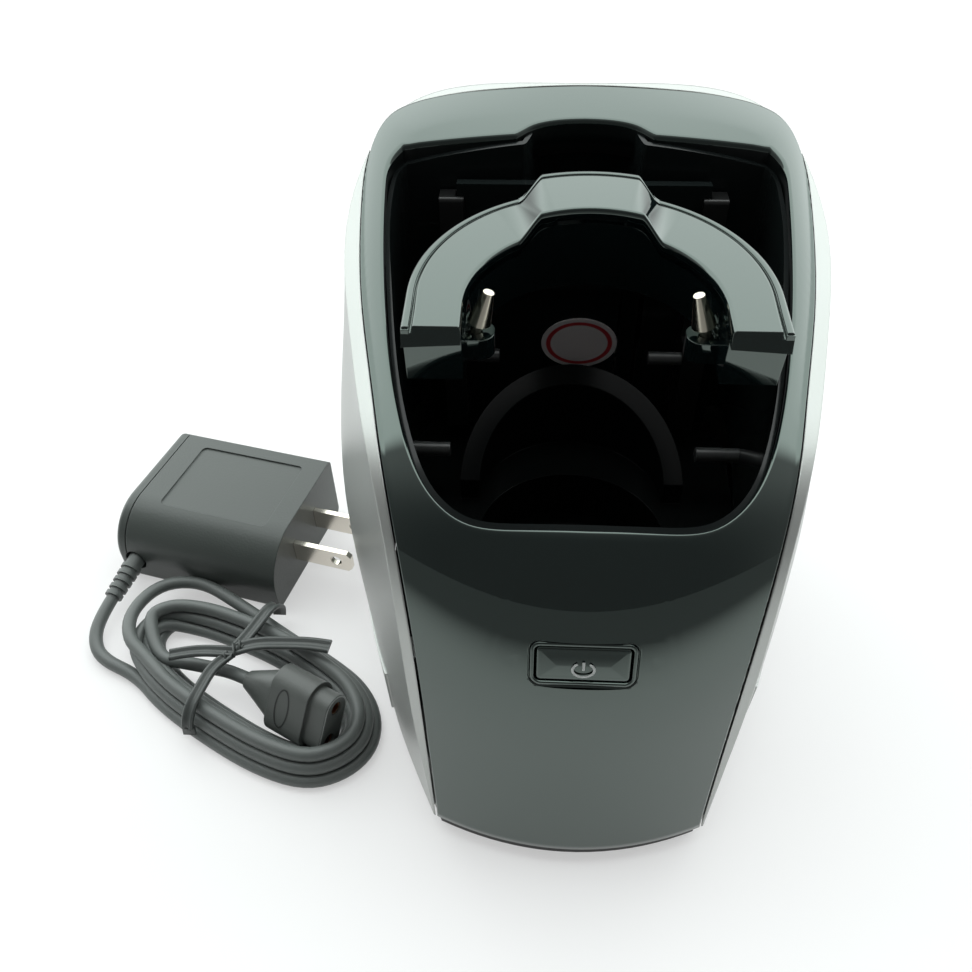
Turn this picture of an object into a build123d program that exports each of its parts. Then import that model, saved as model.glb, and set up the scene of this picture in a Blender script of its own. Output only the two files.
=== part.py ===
from build123d import *
import os
from math import acos, atan2, cos, degrees, pi, radians, sin, sqrt, tan

# Millimetres. X is right, Y is back, Z is up. The origin is on the floor under the
# middle of the stand, which faces -Y.

# Shells of the housing
WALL = 2.0
BACK_WALL = 1.5
SEAM_GAP = 0.35
FIT_GAP = 0.15
HOUSING_BOTTOM = 5.3
BULGE_R = 65.0

# Centre line of the front, shoulder and rim, from the floor to the top of the back
PROFILE = [
    (-63.0, -6), (-62.2, 0), (-57.6, 30), (-53.2, 56), (-48.4, 69), (-40.4, 79.8),
    (-26, 86.4), (-7, 93.4), (17, 101.8), (43, 111), (60.5, 115.5), (80, 119.5),
]
# Side of the stand at five heights: front corner, mid side, widest point, rear, back
SIDE_LEVELS = [
    (-6, (29.0, -56.0), (42.0, -26), (48.8, 20), (40.5, 54), 61.5),
    (30, (31.6, -49.3), (44.0, -22), (53.0, 20), (43.0, 54.5), 61.3),
    (58, (33.8, -43.0), (45.0, -15), (54.2, 22), (44.0, 55), 61.1),
    (80, (37.9, -29.0), (46.4, 0), (51.6, 28), (43.0, 55.5), 60.9),
    (100, (40.0, -20.0), (46.3, 8), (49.0, 34), (41.5, 56), 60.7),
    (125, (38.0, -20.0), (44.0, 8), (46.5, 34), (39.0, 56.5), 60.5),
]
FRONT_CLEAR_Y = -78.0
SIDE_SLOPE = 0.5
# Plan of the seam between the black front and the silver shell, right half
SEAM = [
    (25.6, -78), (27.6, -55.7), (31.2, -43.5), (35.2, -30.1), (38.9, -14), (43.1, 5.5),
    (46.3, 32.3), (46.0, 46), (42.6, 54.2), (34, 58.0), (18, 59.1), (0, 59.4),
]
# Plan of the opening in the rim, right half, then its finger notch
OPENING = [
    (0, -40.4), (12, -40.0), (21, -38.2), (27.4, -33.2), (32.0, -24), (35.3, -12.5),
    (39.4, 11.7), (41.2, 33), (40.6, 38.6), (38.2, 41.8),
]
NOTCH_CORNER = (13.2, 43.4)
NOTCH_SIDE = (10.4, 50.0)
NOTCH_BACK = 51.8
NOTCH_BOTTOM_Z = 92.0

# Well liner and what stands in the well
LINER_WALL = 1.0
LINER_GAP = 0.15
LINER_BOTTOM = 42.0
LINER_LIP_DEPTH = 5.0
LINER_FLANGE = 3.6
PARTITION_HALF = 36.0
POST_INNER = 25.4
POST_OUTER = 30.7
POST_FRONT_Y = 35.5
POST_TOP = 100.4
POST_FOOT_FRONT_Y = 29.4
POST_FOOT_TOP = 66.5
GROOVE_DEPTH = 1.8
PLATE_GAP = 0.3
PEG_R = 1.6
PEG_INNER = 17.6
PEG_Y = 31.7
PEG_Z = 62.9
STUD_R = 1.65
STUD_INNER = 28.4
STUD_Y = 12.6
STUD_Z = 49.6
BADGE_HALF_W = 9.3
BADGE_HALF_H = 7.0
BADGE_X = 1.7
BADGE_Z = 61.0
BADGE_THICK = 0.5

# Shaver holder: a U-shaped ring tipped up towards the back, with a raised arch there
RING_OUTER_R = 31.8
RING_OUTER_Y = -9.8
RING_INNER_R = 22.0
RING_INNER_Y = -13.3
RING_END_Y = -20.0
RING_TOP_Z = 104.5
RING_TILT = 6.0
RING_HEIGHT = 12.2
COVER_THICK = 2.8
COVER_RIM = 1.3
COVER_OVERHANG = 1.2
RIM_DROP = 0.4
ARCH_TOP_HALF = 9.3
ARCH_FOOT_HALF = 12.8
ARCH_RISE = 4.2
NECK_HALF = 9.0
NECK_BOTTOM_Z = 97.5
CARRIAGE_THICK = 2.2
CARRIAGE_BOTTOM_Z = 78.0
CARRIAGE_TOP_Z = 103.0
HOLDER_TRAVEL = 34.0

# Charging contacts of the holder
PIN_X = 20.2
PIN_Y = -9.0
PIN_LEAN = 17.0
PIN_TIP_R = 1.0
PIN_CONE_R = 2.2
PIN_CONE_LENGTH = 6.2
PIN_SHANK_R = 1.1
PIN_TRAVEL = 1.2
PIN_GAP = 0.35
PIN_BLOCK_TOP = 96.9
PIN_BLOCK_INNER = 16.8
PIN_BLOCK_HALF = 3.2

# Rack drive behind the well
RACK_X = 13.5
RACK_WIDTH = 4.0
RACK_MODULE = 0.8
PINION_TEETH = 12
WHEEL_MODULE = 0.5
WHEEL_TEETH = 24
MOTOR_TEETH = 10
WHEEL_WIDTH = 2.6
DRIVE_Z = 50.0
RACK_BACK_Y = 47.2
AXLE_R = 1.0
SHAFT_GAP = 0.06
CHEEK = 1.4
MOTOR_SIZE = (24.0, 10.0, 12.0)

# Button, switch and control board
BUTTON_Y = -52.75
BUTTON_Z = 59.1
BUTTON_LEAN = 8.6
CAP_W = 18.8
CAP_H = 8.8
CAP_CORNER_R = 2.4
BEZEL_W = 20.9
BEZEL_H = 11.4
BEZEL_CORNER_R = 3.4
CAP_GAP = 0.3
BUTTON_TRAVEL = 0.8
BOARD_DEPTH = 6.5
BOARD_W = 38.0
BOARD_H = 15.0
BOARD_DROP = 3.5
BOARD_THICK = 1.6

# Fluid chamber under the well
BASE_INSET = 2.0
BASE_BOTTOM = 0.8
BASE_TOP = 4.9
TUB_WALL = 1.8
TUB_TOP = 35.0
TUB_PLAN = [(22, -45), (28.6, -28), (29.6, -11), (37.5, 4), (39.0, 28), (34, 38)]
TUB_CORNER_R = 4.0
SEAL_THICK = 1.2
BASIN_THICK = 1.8
BOWL_R = 23.0
BOWL_Y = -4.0
BOWL_DEPTH = 19.0
COLLAR_INNER_R = 21.5
COLLAR_OUTER_R = 26.0
COLLAR_Y = 8.0
COLLAR_FRONT_Z = 44.0
COLLAR_SLOPE = 0.58
FOOT_R = 5.0
FOOT_HEIGHT = 1.6
FEET = [(19, -44), (32, 42)]

# Release tabs in the silver sides
TAB_Y = -20.0
TAB_LENGTH = 22.0
TAB_BOTTOM = 7.4
TAB_HEIGHT = 13.6
TAB_PROUD = 0.6
TAB_THICK = 2.4
TAB_GAP = 0.4
CATCH_X = 36.9
LEAF_THICK = 0.4

# Low-voltage inlet at the back, for the two-pole connector
INLET_Z = 14.5
INLET_W = 17.4
INLET_H = 9.6
INLET_WALL = 1.6
INLET_DEPTH = 9.0
POLE_SPACING = 8.0
POLE_R = 1.1

# Wall adapter lying on its side, left of the stand
ADAPTER_ROOT = (-70.9, 20.9)
ADAPTER_TURN = -13.75
ADAPTER_LENGTH = 47.7
ADAPTER_WIDTH = 39.2
ADAPTER_HEIGHT = 20.1
ADAPTER_WALL = 2.0
ADAPTER_TOP_EDGE_R = 13.0
ADAPTER_EDGE_R = 1.5
ADAPTER_CAP_LENGTH = 3.4
LABEL_DEPTH = 0.4
LABEL_X = (-37.5, -6.0)
LABEL_Y = (-9.0, 14.8)
BLADE_LENGTH = 16.6
BLADE_W = 6.35
BLADE_THICK = 1.5
BLADE_SPACING = 12.7
BLADE_HOLE_R = 1.6
RELIEF_LENGTH = 15.0
RELIEF_RIBS = 5
RELIEF_BIG_R = 2.9
RIB_HEIGHT = 0.5
RIB_WIDTH = 1.1

# Cord and its connector
CORD_D = 3.3
RELIEF_SMALL_R = CORD_D / 2 + 0.6
LEAD_POINTS = [
    (-119.4, 0.6, 4.9), (-120.9, -5.4, 3.9), (-120.6, -11.6, 2.6),
    (-117.0, -16.8, 1.9), (-111.3, -19.9, 1.9), (-105.5, -22.6, 1.9),
]
TAIL_POINTS = [
    (-75.6, -25.0, 7.4), (-80.6, -22.6, 6.9), (-86.2, -20.6, 6.0),
    (-92.4, -19.2, 5.2), (-99.0, -17.6, 4.8),
]
COIL_OUTER = [
    (-113.4, -10), (-111.8, -2), (-106.4, 3.4), (-98, 3.4), (-86, 0.6), (-67.6, -7.2),
    (-56, -14.6), (-48.4, -20.4), (-43.2, -30.6), (-44.0, -39.4), (-50, -45.6),
    (-59, -48.6), (-72.2, -44.8), (-86.6, -38.7), (-98.6, -31.3), (-108, -21.9),
]
COIL_WINDOW = [
    (-101.6, -12), (-99.6, -9.2), (-93, -9.2), (-80.7, -13.8), (-66.4, -20.6),
    (-55.8, -28.2), (-51.4, -33.6), (-53.4, -39.6), (-58, -40.6), (-67.3, -37.2),
    (-77, -30.6), (-88.3, -23.4), (-98.2, -17.4),
]
COIL_HEIGHT = 9.0
TIE_WIDTH = 3.6
TIE_THICK = 0.9
TIE_KNOT = (-79.6, -15.6)
TIE_ENDS = [(-97.4, -14.6), (-58.0, -16.0), (-75.4, -4.4), (-89.4, -29.6)]
CONNECTOR_FACE = (-52.9, -37.4, 9.7)
CONNECTOR_AXIS = (0.87, -0.485, 0.08)
CONNECTOR_WIDE = (0.10, 0.60, 0.79)
CONNECTOR_W = 16.4
CONNECTOR_T = 9.0
CONNECTOR_BODY = 11.0
CONNECTOR_NOSE = 5.0
CONNECTOR_NOSE_W = 14.4
CONNECTOR_NOSE_T = 7.2
BOOT_LENGTH = 9.5
SOCKET_R = 1.25


os.makedirs("parts", exist_ok=True)


def save(node, shape):
    """Write one named piece, and say how many solids it has."""
    export_step(shape, f"parts/{node}.step")
    print(node, len(shape.solids()))


def both_sides(piece):
    """A piece on the right with its mirror image on the left."""
    return piece + mirror(piece, about=Plane.YZ)


def box(x, y, z):
    """A box from low and high limits on each axis."""
    size = [limits[1] - limits[0] for limits in (x, y, z)]
    middle = [(limits[0] + limits[1]) / 2 for limits in (x, y, z)]
    return Pos(*middle) * Box(*size)


# Outer form of the stand

def moved_inwards(points, inset):
    """Profile points moved at right angles to the profile by the inset."""
    moved = []
    for i, (y, z) in enumerate(points):
        before = points[max(i - 1, 0)]
        after = points[min(i + 1, len(points) - 1)]
        length = sqrt((after[0] - before[0]) ** 2 + (after[1] - before[1]) ** 2)
        moved.append((
            y + inset * (after[1] - before[1]) / length,
            z - inset * (after[0] - before[0]) / length,
        ))
    return moved


def skin(inset):
    """All that lies behind the front and under the rim, which bulge towards the middle."""
    points = moved_inwards(PROFILE, inset)
    low = points[0][1]
    sections = []
    for i in range(-4, 5):
        x = 16.0 * i
        shift = x * x / (2 * BULGE_R)
        curve = [(x, y + shift, z) for y, z in points]
        back = (x, curve[-1][1], low)
        line = Spline(*curve) + Polyline(curve[-1], back, curve[0])
        sections.append(make_face(line))
    return loft(sections)


def side_outline(level, inset):
    z, front, middle, wide, rear, back = level
    slope = SIDE_SLOPE * (front[1] - FRONT_CLEAR_Y)
    half = [
        (front[0] - slope - inset, FRONT_CLEAR_Y),
        (front[0] - inset, front[1]),
        (middle[0] - inset, middle[1]),
        (wide[0] - inset, wide[1]),
        (rear[0] - 0.75 * inset, rear[1] - 0.65 * inset),
    ]
    right = [(x, y, z) for x, y in half]
    left = [(-x, y, z) for x, y in reversed(half)]
    centre = (0, back - inset * BACK_WALL / WALL, z)
    curve = Spline(*right, centre, *left)
    return make_face(curve + Line(left[-1], right[0]))


def sides(inset):
    """All that lies between the silver sides and in front of the back."""
    return loft([side_outline(level, inset) for level in SIDE_LEVELS])


def seam_plan():
    left = [(-x, y) for x, y in reversed(SEAM[:-1])]
    curve = Spline(*SEAM, *left)
    return make_face(curve + Line(left[-1], SEAM[0]))


def opening_plan():
    """Plan of the rim's opening, with the finger notch at its back."""
    right = Spline(*OPENING, tangents=[(1, 0), (-1, 0.9)])
    right += Line(OPENING[-1], NOTCH_CORNER)
    right += Spline(NOTCH_CORNER, NOTCH_SIDE, (0, NOTCH_BACK), tangents=[(-0.6, 1), (-1, 0)])
    return make_face(right + mirror(right, about=Plane.YZ))


def grown(plan, distance):
    """A plan with its outline moved outwards by a distance."""
    return offset(plan, distance).to_splines().faces()[0]


def column(plan, low, high):
    """A plan raised between two heights."""
    return extrude(Pos(0, 0, low) * plan, high - low)


TOP = 125.0
skins = {inset: skin(inset) for inset in (0, WALL)}
side_forms = {inset: sides(inset) for inset in (0, WALL)}
outer_form = skins[0] & side_forms[0]
hollow = skins[WALL] & side_forms[WALL]
above_floor = box((-80, 80), (-80, 80), (HOUSING_BOTTOM, TOP))

# Front fascia: the glossy front wall and the rim in one piece, with a return lip
button_plane = Plane(
    origin=(0, BUTTON_Y, BUTTON_Z), x_dir=(1, 0, 0),
    z_dir=(0, -cos(radians(BUTTON_LEAN)), sin(radians(BUTTON_LEAN))),
)


def rounded_bar(width, height, corner, near, far):
    """A rounded bar along the button's travel, between two depths behind the front."""
    plan = button_plane.offset(-far) * RectangleRounded(width, height, corner)
    return extrude(plan, far - near, dir=button_plane.z_dir)


opening = opening_plan()
opening_column = column(opening, 40, TOP)
seam_column = column(seam_plan(), 0, TOP)
bezel_hole = rounded_bar(
    BEZEL_W + 2 * FIT_GAP, BEZEL_H + 2 * FIT_GAP, BEZEL_CORNER_R + FIT_GAP, -4, WALL + 3,
)
lip = column(grown(opening, LINER_WALL), 60, TOP) - skin(LINER_LIP_DEPTH)
front_fascia = (skins[0] - (skins[WALL] - lip)) & side_forms[0] & seam_column & above_floor
front_fascia = front_fascia - opening_column - bezel_hole
save("front_fascia", front_fascia)

# Silver shell: both sides and the back in one piece, open at the front
tab_box = box(
    (30, 70), (TAB_Y - TAB_LENGTH / 2, TAB_Y + TAB_LENGTH / 2),
    (TAB_BOTTOM, TAB_BOTTOM + TAB_HEIGHT),
)
tab_hole = box(
    (30, 70), (TAB_Y - TAB_LENGTH / 2 - TAB_GAP, TAB_Y + TAB_LENGTH / 2 + TAB_GAP),
    (TAB_BOTTOM - TAB_GAP, TAB_BOTTOM + TAB_HEIGHT + TAB_GAP),
)
BOSS_X = 28.0
BOSS_Y = 55.2
BOSS_R = 3.4
BOSS_TOP = 26.0
SCREW_R = 1.4
SCREW_HEAD_R = 2.6
SCREW_HEAD = 1.6
HOUSING_FLOOR = 2.6
floor_top = HOUSING_BOTTOM + HOUSING_FLOOR
seam_gap_column = column(grown(seam_plan(), SEAM_GAP), 0, TOP)
top_layer = skin(-1) - skin(WALL + FIT_GAP)
side_shell = (outer_form - hollow) & above_floor
side_shell = side_shell - (seam_gap_column & top_layer)
side_shell = side_shell - both_sides(tab_hole)
boss = Pos(BOSS_X, BOSS_Y, floor_top + FIT_GAP) * Cylinder(
    BOSS_R, BOSS_TOP - floor_top, align=(Align.CENTER, Align.CENTER, Align.MIN))
boss += box((BOSS_X - 1, BOSS_X + 1), (BOSS_Y, 62), (floor_top + FIT_GAP, BOSS_TOP))
screw_bore = Pos(BOSS_X, BOSS_Y, 0) * Cylinder(
    SCREW_R + 0.05, BOSS_TOP - 2, align=(Align.CENTER, Align.CENTER, Align.MIN))
side_shell += both_sides(boss & side_forms[0])
side_shell = side_shell - both_sides(screw_bore)


def stadium(width, height):
    return SlotOverall(width, height)


back_plane = Plane(origin=(0, SIDE_LEVELS[0][5] + 3, INLET_Z), x_dir=(-1, 0, 0), z_dir=(0, 1, 0))
inlet_hole = extrude(back_plane * stadium(INLET_W + 2 * INLET_WALL, INLET_H + 2 * INLET_WALL), -8)
side_shell = side_shell - inlet_hole
save("side_shell", side_shell)

# Well liner: black tube under the rim, a flange under the lip and a back partition
notch_outer = grown(opening, -LINER_GAP)
notch_inner = grown(opening, -LINER_GAP - LINER_WALL)
liner_skin = skin(LINER_WALL)
flange_top = skin(LINER_LIP_DEPTH + FIT_GAP)
flange_bottom = skin(LINER_LIP_DEPTH + FIT_GAP + LINER_WALL)
partition_y = OPENING[-1][1] - LINER_GAP - 0.1
notch_floor = NOTCH_BOTTOM_Z - LINER_WALL
well_back_y = partition_y - LINER_WALL
well_liner = column(notch_outer, LINER_BOTTOM, TOP) & liner_skin
well_liner = well_liner - box((-60, 60), (partition_y, 80), (0, notch_floor))
well = column(notch_inner, LINER_BOTTOM - 5, TOP)
well = well - box((-60, 60), (well_back_y, 80), (0, NOTCH_BOTTOM_Z))
flange = column(grown(opening, LINER_FLANGE), LINER_BOTTOM, TOP) & (flange_top - flange_bottom)
well_liner += flange & side_forms[WALL]
well_liner += box(
    (-PARTITION_HALF, PARTITION_HALF), (well_back_y, partition_y),
    (floor_top + FIT_GAP, LINER_BOTTOM + 2),
)
slot_half = RACK_WIDTH / 2 + 0.9
slot = box(
    (RACK_X - slot_half, RACK_X + slot_half), (partition_y - 3, partition_y + 3),
    (LINER_BOTTOM + 2.4, CARRIAGE_BOTTOM_Z + 10),
)
well_liner = well_liner - well - slot
save("well_liner", well_liner)

# Guide posts: grooved rails that the holder's carriage slides in
carriage_y = (POST_FRONT_Y + well_back_y) / 2 - CARRIAGE_THICK / 2
post = box((POST_INNER, POST_OUTER), (POST_FRONT_Y, well_back_y), (LINER_BOTTOM + 1, POST_TOP))
post += box((POST_INNER, POST_OUTER), (POST_FOOT_FRONT_Y, well_back_y),
            (LINER_BOTTOM + 1, POST_FOOT_TOP))
post = fillet(post.edges().filter_by(Axis.X).sort_by(Axis.Z)[-2:], 0.8)
post = post - box(
    (POST_INNER - 1, POST_INNER + GROOVE_DEPTH),
    (carriage_y - PLATE_GAP, carriage_y + CARRIAGE_THICK + PLATE_GAP), (40, TOP),
)
save("guide_posts", both_sides(post))

peg = Pos(0, PEG_Y, PEG_Z) * Rot(Y=90) * Cylinder(
    PEG_R, POST_INNER - PEG_INNER, align=(Align.CENTER, Align.CENTER, Align.MIN))
peg = Pos(PEG_INNER, 0, 0) * peg
save("stop_pegs", both_sides(peg))

stud = Pos(STUD_INNER, STUD_Y, STUD_Z) * Rot(Y=90) * Cylinder(
    STUD_R, 20, align=(Align.CENTER, Align.CENTER, Align.MIN))
stud = stud & well
save("side_studs", both_sides(stud))

badge = extrude(
    Plane(origin=(BADGE_X, well_back_y, BADGE_Z), x_dir=(1, 0, 0), z_dir=(0, -1, 0))
    * Ellipse(BADGE_HALF_W, BADGE_HALF_H), BADGE_THICK)
save("oval_badge", badge)

# Housing floor under the drive, held by two screws from below
housing_floor = sides(WALL + FIT_GAP) & box((-70, 70), (well_back_y, 70),
                                            (HOUSING_BOTTOM, floor_top))
counterbore = Pos(BOSS_X, BOSS_Y, HOUSING_BOTTOM) * Cylinder(
    SCREW_HEAD_R + 0.2, 2 * (SCREW_HEAD + 0.3))
housing_floor = housing_floor - both_sides(screw_bore) - both_sides(counterbore)
save("housing_floor", housing_floor)

screw = Pos(BOSS_X, BOSS_Y, HOUSING_BOTTOM + 0.2) * Cylinder(
    SCREW_HEAD_R, SCREW_HEAD + 0.1, align=(Align.CENTER, Align.CENTER, Align.MIN))
screw += Pos(BOSS_X, BOSS_Y, HOUSING_BOTTOM + 0.4) * Cylinder(
    SCREW_R, BOSS_TOP - HOUSING_BOTTOM - 5, align=(Align.CENTER, Align.CENTER, Align.MIN))
screw = screw - Pos(BOSS_X, BOSS_Y, HOUSING_BOTTOM) * Box(3.2, 0.6, 1.6)
save("housing_screws", both_sides(screw))

# Power button, its bezel, spring, switch and the board behind it
bezel = rounded_bar(BEZEL_W, BEZEL_H, BEZEL_CORNER_R, -3, WALL + 1.2)
bezel = bezel - rounded_bar(CAP_W + 2 * CAP_GAP, CAP_H + 2 * CAP_GAP, CAP_CORNER_R + CAP_GAP, -4, 9)
bezel = bezel & skin(-0.3)
save("button_bezel", bezel)

cap = rounded_bar(CAP_W, CAP_H, CAP_CORNER_R, -3, WALL) & skin(0.25)
stem = extrude(button_plane.offset(-WALL - 1.4) * Circle(1.8), 2.4, dir=button_plane.z_dir)
power_button = cap + stem
save("power_button", power_button)

switch_top = WALL + 1.4 + BUTTON_TRAVEL + 0.2
switch = extrude(button_plane.offset(-BOARD_DEPTH) * Rectangle(4.4, 4.4),
                 BOARD_DEPTH - switch_top, dir=button_plane.z_dir)
save("button_switch", switch)

spring_plane = button_plane.offset(-BOARD_DEPTH + 0.25)
SPRING_R = 3.7
SPRING_WIRE_R = 0.22
spring_path = Helix(pitch=1.1, height=BOARD_DEPTH - WALL - 0.55, radius=SPRING_R)
spring_start = Plane(spring_path @ 0, z_dir=spring_path % 0)
button_spring = spring_plane * sweep(spring_start * Circle(SPRING_WIRE_R), path=spring_path)
save("button_spring", button_spring)

board_plane = button_plane.offset(-BOARD_DEPTH) * Pos(0, -BOARD_DROP)
board = extrude(board_plane * Rectangle(BOARD_W, BOARD_H), -BOARD_THICK, dir=button_plane.z_dir)
save("control_board", board)

# Board bracket: two posts from the front wall that carry the board
bracket = None
for side in (-1, 1):
    post_plan = board_plane * Pos(side * (BOARD_W / 2 - 3), 0) * Rectangle(3, BOARD_H - 2)
    arm = extrude(post_plan, BOARD_DEPTH, dir=button_plane.z_dir) & skin(WALL + FIT_GAP)
    bracket = arm if bracket is None else bracket + arm
save("board_posts", bracket)

# Holder: ring frame, ring cover, carriage and rack travel together
ring_place = Pos(0, RING_END_Y, RING_TOP_Z) * Rot(X=RING_TILT)


def arc_band(centre_y, outer_r, inner_centre_y, inner_r):
    """Plan of the U between two arcs with straight arms, in the ring's own tipped frame."""
    plan = None
    for sign, y, radius in ((1, centre_y, outer_r), (-1, inner_centre_y, inner_r)):
        middle = y - RING_END_Y
        form = Pos(0, middle) * Circle(radius) + Pos(0, middle - 50) * Rectangle(2 * radius, 100)
        plan = form if sign > 0 else plan - form
    return plan & Pos(0, 50) * Rectangle(120, 100)


def under_arch(drop):
    """All of the ring's frame below its arched top face, less a drop."""
    rise = ARCH_RISE - drop
    half = [(0, rise), (ARCH_TOP_HALF - 2, rise)]
    step = Spline(half[-1], (ARCH_FOOT_HALF + 2, -drop), tangents=[(1, 0), (1, 0)])
    right = Line(*half) + step + Polyline(step @ 1, (60, -drop), (60, -40), (0, -40))
    face = make_face(right + mirror(right, about=Plane.YZ))
    return extrude(Plane(origin=(0, -1, 0), x_dir=(1, 0, 0), z_dir=(0, -1, 0)) * face, -100)


def ring_solid(plan, low, high):
    """A plan of the ring raised between two drops below the arched top face."""
    tall = extrude(Pos(0, 0, -RING_HEIGHT) * plan, RING_HEIGHT + ARCH_RISE + 2)
    solid = tall & under_arch(high)
    return solid - under_arch(low) if low else solid


whole_plan = arc_band(RING_OUTER_Y, RING_OUTER_R, RING_INNER_Y, RING_INNER_R)
cover_r = RING_OUTER_R - COVER_RIM - FIT_GAP
cover_plan = arc_band(RING_OUTER_Y, cover_r, RING_INNER_Y, RING_INNER_R)
pocket_plan = arc_band(RING_OUTER_Y, cover_r + FIT_GAP, RING_INNER_Y, RING_INNER_R - 1)
ring_frame = ring_solid(whole_plan, 0, RIM_DROP) - ring_solid(pocket_plan, COVER_THICK, -2)
ring_frame = ring_frame - box((-60, 60), (-1, COVER_OVERHANG), (-40, -COVER_THICK))
neck_front = RING_OUTER_Y + RING_OUTER_R - COVER_RIM - 2
neck = box((-NECK_HALF, NECK_HALF), (neck_front, carriage_y), (NECK_BOTTOM_Z, RING_TOP_Z))
holder_frame = ring_place * ring_frame + neck


def pin_frame(side):
    return Pos(side * PIN_X, PIN_Y, PIN_BLOCK_TOP) * Rot(Y=-side * PIN_LEAN)


pin_path = Cylinder(PIN_SHANK_R + PIN_GAP, 8, align=(Align.CENTER, Align.CENTER, Align.MAX))
pin_path += Cylinder(PIN_CONE_R + PIN_GAP, 14, align=(Align.CENTER, Align.CENTER, Align.MIN))
for side in (-1, 1):
    holder_frame = holder_frame - pin_frame(side) * pin_path
save("holder_frame", holder_frame)
save("holder_cover", ring_place * ring_solid(cover_plan, COVER_THICK, 0))

plate_half = POST_INNER + GROOVE_DEPTH - PLATE_GAP
carriage = box((-plate_half, plate_half), (carriage_y, carriage_y + CARRIAGE_THICK),
               (CARRIAGE_BOTTOM_Z, CARRIAGE_TOP_Z))
rack_front = partition_y + 1.2
rack_neck = box((RACK_X - RACK_WIDTH / 2, RACK_X + RACK_WIDTH / 2),
                (carriage_y + CARRIAGE_THICK, rack_front),
                (CARRIAGE_BOTTOM_Z + 0.6, CARRIAGE_BOTTOM_Z + 8))
carriage += rack_neck
save("holder_carriage", carriage)


# Gears and rack: involute teeth, thinned for running clearance
TOOTH_THIN = 0.86
ADDENDUM = 0.85
DEDENDUM = 1.2


def gear_plan(module, teeth, turn):
    """Plan of a spur gear. At turn 0 a tooth points along +X of its plane."""
    pitch_r = module * teeth / 2
    base_r = pitch_r * cos(radians(20))
    root_r = pitch_r - DEDENDUM * module
    tip_r = pitch_r + ADDENDUM * module

    def involute(r):
        a = acos(min(1, base_r / r))
        return tan(a) - a

    half_pitch_angle = TOOTH_THIN * pi / (2 * teeth)
    flank = []
    for step in range(5):
        r = max(base_r, root_r) + (tip_r - max(base_r, root_r)) * step / 4
        flank.append((r, half_pitch_angle + involute(pitch_r) - involute(r)))
    if root_r < base_r:
        flank.insert(0, (root_r, flank[0][1]))
    points = []
    for tooth in range(teeth):
        middle = radians(turn) + 2 * pi * tooth / teeth
        points += [(r * cos(middle - a), r * sin(middle - a)) for r, a in flank]
        points += [(r * cos(middle + a), r * sin(middle + a)) for r, a in reversed(flank)]
    return make_face(Polyline(*points, close=True))


rack_pitch = pi * RACK_MODULE
pinion_r = RACK_MODULE * PINION_TEETH / 2
wheel_r = WHEEL_MODULE * WHEEL_TEETH / 2
motor_r = WHEEL_MODULE * MOTOR_TEETH / 2
rack_line_y = RACK_BACK_Y + DEDENDUM * RACK_MODULE
drive_y = rack_line_y + pinion_r + 0.05
motor_z = DRIVE_Z - wheel_r - motor_r - 0.05

rack_points = [(rack_front, DRIVE_Z - 5), (RACK_BACK_Y, DRIVE_Z - 5)]
rack_teeth = round((HOLDER_TRAVEL + 4) / rack_pitch)
for i in range(-1, rack_teeth):
    middle = DRIVE_Z + i * rack_pitch
    half_root = TOOTH_THIN * rack_pitch / 4 + DEDENDUM * RACK_MODULE * tan(radians(20))
    half_tip = TOOTH_THIN * rack_pitch / 4 - ADDENDUM * RACK_MODULE * tan(radians(20))
    tip_y = rack_line_y + ADDENDUM * RACK_MODULE
    rack_points += [(RACK_BACK_Y, middle - half_root), (tip_y, middle - half_tip),
                    (tip_y, middle + half_tip), (RACK_BACK_Y, middle + half_root)]
rack_top = DRIVE_Z + rack_teeth * rack_pitch
rack_points += [(RACK_BACK_Y, rack_top), (rack_front, rack_top)]
rack_face = make_face(Polyline(*[(RACK_X - RACK_WIDTH / 2, y, z) for y, z in rack_points], close=True))
drive_rack = extrude(rack_face, RACK_WIDTH, dir=(1, 0, 0))
save("drive_rack", drive_rack)


def across(plan, x, width, y, z):
    """A plan drawn on the YZ plane at y and z, raised along +X from x."""
    plane = Plane(origin=(x, y, z), x_dir=(0, 1, 0), z_dir=(1, 0, 0))
    return extrude(plane * plan, width)


pinion_low = RACK_X - RACK_WIDTH / 2
wheel_low = pinion_low - WHEEL_WIDTH - 0.8
drive_gear = across(gear_plan(RACK_MODULE, PINION_TEETH, 180 + 180 / PINION_TEETH),
                    wheel_low, RACK_WIDTH + WHEEL_WIDTH + 0.8, drive_y, DRIVE_Z)
wheel = across(gear_plan(WHEEL_MODULE, WHEEL_TEETH, 270 + 180 / WHEEL_TEETH),
               wheel_low, WHEEL_WIDTH, drive_y, DRIVE_Z)
drive_gear += wheel
drive_gear = drive_gear - across(Circle(AXLE_R + SHAFT_GAP), wheel_low - 1, 20, drive_y, DRIVE_Z)
save("drive_gear", drive_gear)

cheek_left = wheel_low - 0.8 - CHEEK
cheek_right = RACK_X + RACK_WIDTH / 2 + 0.8
motor_gear = across(gear_plan(WHEEL_MODULE, MOTOR_TEETH, 90), wheel_low, WHEEL_WIDTH, drive_y, motor_z)
motor_gear += across(Circle(AXLE_R), cheek_left - 3, 3 + wheel_low - cheek_left,
                     drive_y, motor_z)
save("motor_gear", motor_gear)

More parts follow.
